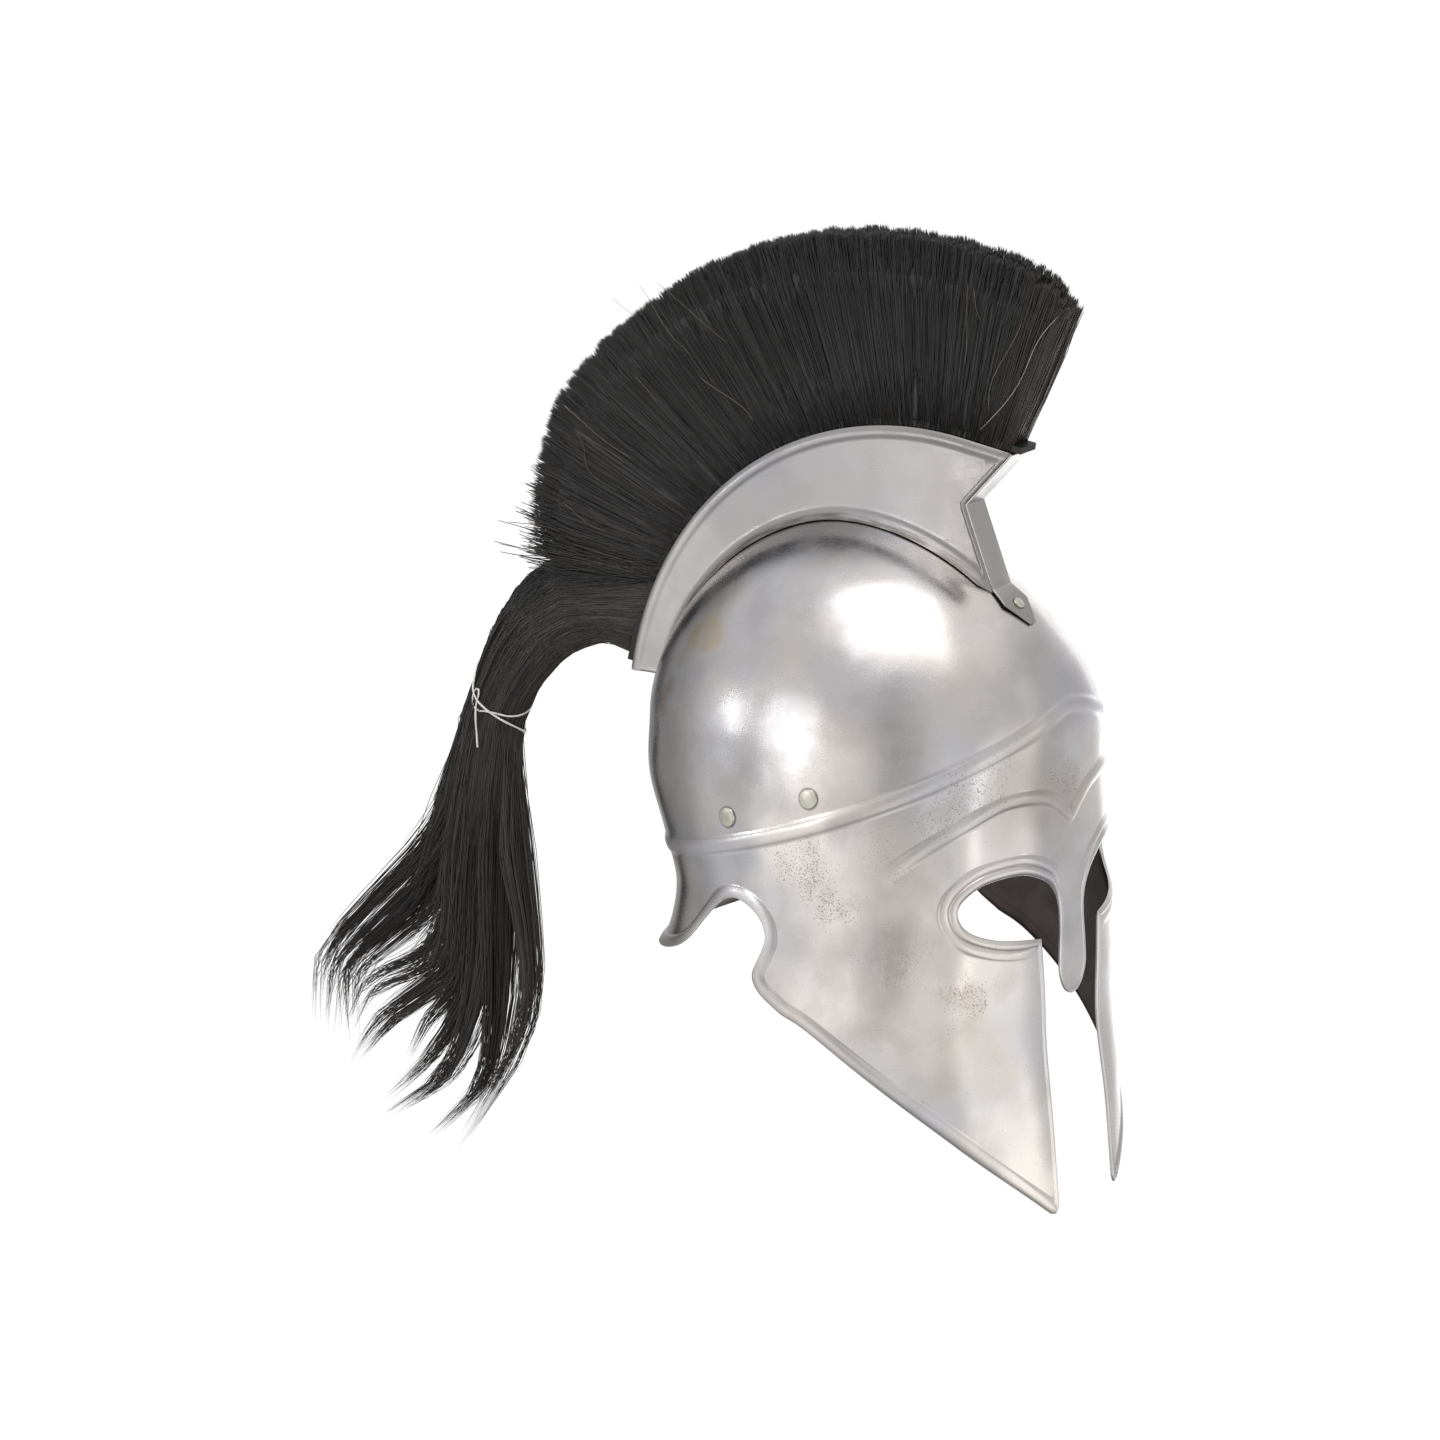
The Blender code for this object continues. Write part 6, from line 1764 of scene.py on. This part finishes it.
def mottled(name, first, second, width, raggedness, **values):
    """A finish that drifts between two colours in clouds about that many millimetres wide."""
    made, tree, shader = new_finish(name, **values)
    place = node(tree, "ShaderNodeTexCoord", {}).outputs["Object"]
    clouds = node(tree, "ShaderNodeTexNoise", {
        "Vector": place,
        "Scale": 1.0 / (width * MM),
        "Detail": raggedness,
    }).outputs["Fac"]
    tone = node(tree, "ShaderNodeMix", {0: clouds, 6: colour(first), 7: colour(second)},
                data_type="RGBA").outputs[2]
    tree.links.new(tone, shader.inputs["Base Color"])
    return made


def oxidised_steel():
    """The inside, left dark from the forge: brown-grey scale with a dull gloss."""
    return mottled("oxidised_steel", "#2E2825", "#6A605A", 14.0, 4.0, Metallic=0.6, Roughness=0.5)


def rivet_steel():
    """Rivets dressed flat and bright, a little yellow, and satin from the file."""
    return mottled("dressed_rivet", "#B4B1A6", "#DAD7CB", 2.5, 2.0, Metallic=1.0, Roughness=0.34)


def cotton():
    """White cotton string, matt, with painted shade in fine clouds a little darker, for the hollows
    between its plies.
    """
    return mottled("cotton_string", "#DAD6CE", "#FBF9F4", 0.8, 2.0, Roughness=0.85)


def horsehair():
    """Black horsehair: near black with brown in the lighter hairs, a soft sheen along each."""
    made, tree, shader = new_finish("black_horsehair", Roughness=0.4, IOR=1.55)
    tone = node(tree, "ShaderNodeAttribute", {}, attribute_name="tone").outputs["Fac"]
    base = colour(HAIR_BLACK)
    for low, high, tint in HAIR_COLOURS:
        share = node(tree, "ShaderNodeMapRange", {"Value": tone, "From Min": low, "From Max": high})
        base = node(tree, "ShaderNodeMix", {0: share.outputs["Result"], 6: base, 7: colour(tint)},
                    data_type="RGBA").outputs[2]
    tree.links.new(base, shader.inputs["Base Color"])
    return made


def black_block():
    """The wood that holds the hair, stained black and nearly matt."""
    return new_finish("black_stained_wood", Roughness=0.55, Base_Color=colour("#151413"))[0]


# The camera. Angles in degrees, lengths in millimetres.
CAMERA_TURN = -55.6        # round the helmet from its front toward the wearer's left
CAMERA_RISE = 13.4
CAMERA_ROLL = 2.9
CAMERA_REACH = 3100.0
CAMERA_AIM = (0.0, 88.9, -114.5)
CAMERA_LENS = 150.04
CAMERA_SENSOR = 36.0
CAMERA_END = 20000.0       # nothing further away is drawn

WHITE = (1.0, 1.0, 1.0, 1.0)
WHITE_LEVEL = 1.05         # of what the camera sees behind and under the helmet
FLOOR_LEVEL = -381.0       # just under the tips of the tail
FLOOR_REACH = 6000.0       # half of the floor's side

# The room round the helmet is a pale tent, with places that are lighter or darker.
# Columns: turn, rise, inner and outer half angle, and how much light is added.
TENT_LEVEL = 0.96
TENT_PLACES = (
    (168.0, -6.0, 5.0, 48.0, -0.60),
    (160.0, 32.0, 4.0, 22.0, -0.30),
    (142.0, 56.0, 8.0, 28.0, -0.50),
    (-80.0, 32.0, 4.0, 19.0, -0.24),
    (-80.0, 15.0, 4.0, 19.0, -0.24),
    (-79.0, -2.0, 4.0, 19.0, -0.24),
    (-82.0, -24.0, 5.0, 20.0, 0.25),
    (-50.0, -12.0, 5.0, 18.0, 0.20),
    (-22.0, -9.0, 2.0, 8.0, 0.70),
    (24.0, -5.0, 2.0, 8.0, 0.90),
    (-112.0, -9.0, 8.0, 22.0, 0.42),
    (-135.0, -4.0, 4.0, 14.0, -0.20),
    (0.0, -17.0, 18.0, 38.0, 0.50),
    (50.0, 8.0, 10.0, 32.0, -0.22),
    (108.0, 5.0, 10.0, 27.0, 0.80),
    (106.0, -33.0, 8.0, 26.0, 1.60),
    (30.0, 75.0, 15.0, 40.0, 0.30),
    (0.0, -90.0, 24.0, 62.0, -0.60),
)
# The lamps. Columns: name, place that it is aimed at, turn, rise and distance from there,
# width, height, tilt of the panel in its own plane, brightness.
LAMPS = (
    ("overhead_softbox", (0.0, 0.0, -60.0), -80.0, 66.0, 1200.0, 960.0, 620.0, 22.0, 1.5),
    ("overhead_softbox_core", (0.0, 0.0, -60.0), -80.0, 66.0, 1150.0, 560.0, 300.0, 22.0, 1.7),
    ("side_strip", (-99.0, -20.0, -88.0), -121.0, 10.0, 250.0, 33.0, 120.0, 3.0, 4.2),
    ("far_side_strip", (-97.0, 25.0, -88.0), -139.0, 9.0, 700.0, 30.0, 130.0, 18.0, 16.0),
)


def direction(turn, rise):
    """Unit vector of a turn from the front toward the wearer's left and a rise, in degrees."""
    turn, rise = math.radians(turn), math.radians(rise)
    return Vector((math.sin(turn) * math.cos(rise), -math.cos(turn) * math.cos(rise), math.sin(rise)))


def set_room():
    """A pale tent with lighter and darker places, which the camera itself sees as plain white."""
    world = bpy.data.worlds.new("tent")
    world.use_nodes = True
    bpy.context.scene.world = world
    tree = world.node_tree
    tree.nodes.clear()
    toward = node(tree, "ShaderNodeTexCoord", {}).outputs["Generated"]
    level = TENT_LEVEL
    for turn, rise, inner, outer, amount in TENT_PLACES:
        facing = node(tree, "ShaderNodeVectorMath", {0: toward, 1: direction(turn, rise)},
                      operation="DOT_PRODUCT").outputs["Value"]
        part = node(tree, "ShaderNodeMapRange", {
            "Value": facing,
            "From Min": math.cos(math.radians(outer)),
            "From Max": math.cos(math.radians(inner)),
            "To Max": amount,
        }, interpolation_type="SMOOTHSTEP").outputs["Result"]
        level = node(tree, "ShaderNodeMath", {0: part, 1: level}).outputs[0]
    tent = node(tree, "ShaderNodeBackground", {"Strength": level}).outputs[0]
    white = node(tree, "ShaderNodeBackground", {"Color": WHITE, "Strength": WHITE_LEVEL}).outputs[0]
    seen = node(tree, "ShaderNodeLightPath", {}).outputs["Is Camera Ray"]
    both = node(tree, "ShaderNodeMixShader", {0: seen, 1: tent, 2: white}).outputs[0]
    node(tree, "ShaderNodeOutputWorld", {"Surface": both})
    bpy.context.scene.view_settings.view_transform = "Standard"


def set_floor():
    """A white paper floor, lit so evenly that nothing shades it. It is open from below, so that
    the helmet's hollow can be looked into."""
    sides = ((-1.0, -1.0), (1.0, -1.0), (1.0, 1.0), (-1.0, 1.0))
    points = [(x * FLOOR_REACH, y * FLOOR_REACH, FLOOR_LEVEL) for x, y in sides]
    mesh = new_mesh("paper_floor", points, [(0, 1, 2, 3)])
    paper = bpy.data.materials.new("white_paper")
    paper.use_nodes = True
    tree = paper.node_tree
    tree.nodes.clear()
    white = node(tree, "ShaderNodeEmission", {"Color": WHITE, "Strength": WHITE_LEVEL}).outputs[0]
    below = node(tree, "ShaderNodeNewGeometry", {}).outputs["Backfacing"]
    open_below = node(tree, "ShaderNodeBsdfTransparent", {}).outputs[0]
    both = node(tree, "ShaderNodeMixShader", {0: below, 1: white, 2: open_below}).outputs[0]
    node(tree, "ShaderNodeOutputMaterial", {"Surface": both})
    mesh.materials.append(paper)
    floor = new_object("paper_floor", mesh)
    floor.visible_diffuse = False
    floor.visible_glossy = False
    floor.visible_shadow = False
    floor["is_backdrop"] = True


def set_stand(thing, place, axes):
    """Puts a lamp or the camera at a place, with its own x, y and z along three directions."""
    turned_to = Matrix(axes).transposed().to_4x4()
    thing.matrix_world = Matrix.Translation(place * MM) @ turned_to


def set_lamps():
    """Panels round the helmet, each as bright as its row says."""
    for name, aim, turn, rise, distance, width, height, tilt, brightness in LAMPS:
        lamp = bpy.data.lights.new(name, "AREA")
        lamp.shape = "RECTANGLE"
        lamp.size = width * MM
        lamp.size_y = height * MM
        lamp.energy = brightness * math.pi * lamp.size * lamp.size_y
        thing = new_object(name, lamp)
        away = direction(turn, rise)
        level = Vector((0.0, 0.0, 1.0)).cross(away).normalized()
        set_stand(thing, Vector(aim) + away * distance, (level, away.cross(level), away))
        thing.matrix_world = thing.matrix_world @ Matrix.Rotation(math.radians(tilt), 4, "Z")
        thing.visible_camera = False
        thing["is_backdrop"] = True


def set_camera():
    """The camera as the photograph was taken: from the wearer's right, a little above."""
    back = direction(CAMERA_TURN, CAMERA_RISE)
    level = Vector((0.0, 0.0, 1.0)).cross(back).normalized()
    above = back.cross(level)
    roll = math.radians(CAMERA_ROLL)
    right = level * math.cos(roll) - above * math.sin(roll)
    up = level * math.sin(roll) + above * math.cos(roll)
    camera = bpy.data.cameras.new("camera")
    camera.lens = CAMERA_LENS
    camera.sensor_width = CAMERA_SENSOR
    camera.clip_end = CAMERA_END * MM
    thing = new_object("camera", camera)
    set_stand(thing, Vector(CAMERA_AIM) + back * CAMERA_REACH, (right, up, back))
    bpy.context.scene.camera = thing


def corners():
    """Lowest and highest corner of what is shown, as plain lists in metres."""
    return [list(corner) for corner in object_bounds()]


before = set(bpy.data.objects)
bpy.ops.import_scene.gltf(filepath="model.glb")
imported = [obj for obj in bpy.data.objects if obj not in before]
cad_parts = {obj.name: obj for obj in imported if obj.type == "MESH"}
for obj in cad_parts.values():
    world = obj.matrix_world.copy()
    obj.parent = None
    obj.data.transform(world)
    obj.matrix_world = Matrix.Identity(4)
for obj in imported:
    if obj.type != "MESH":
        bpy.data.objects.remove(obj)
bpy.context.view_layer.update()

rivets = rivet_places()
seats = [(centre, head) for _, centre, _, head, *_ in rivets]
skull_steel = polished_steel("polished_mild_steel", "#D0CAC6", "#CAC9CD", SKULL_TINTS_AND_PAINTED_LIGHT, seats,
                             dents=0.7, rust=0.6, gloss_range=(0.17, 0.27))
crest_steel = polished_steel("polished_crest_steel", "#ADA9A7", "#A8A8AC", CREST_PAINTED_SHADE_AND_LIGHT, seats,
                             dents=0.25, rust=0.12, gloss_range=(0.26, 0.36))
strap_steel = polished_steel("polished_strap_steel", "#B6B3B0", "#B2B2B6", STRAP_PAINTED_SHADE, seats,
                             dents=0.25, rust=0.12, gloss_range=(0.26, 0.36))
shade_and_dull_lip(crest_steel)
dark_inside = oxidised_steel()
rivet_finish = rivet_steel()
hair_finish = horsehair()

make_shell(skull_steel, dark_inside)
make_box_sides(crest_steel, dark_inside)
make_strap(strap_steel)
make_rear_strip(crest_steel)
for row in rivets:
    make_rivet(rivet_finish, *row)
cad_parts["plume_base"].data.materials.clear()
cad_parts["plume_base"].data.materials.append(black_block())
make_brush(hair_finish)
make_flyaways(hair_finish)
make_stem(hair_finish)
make_locks(hair_finish)
make_string(cotton())

set_room()
set_floor()
set_lamps()
set_camera()
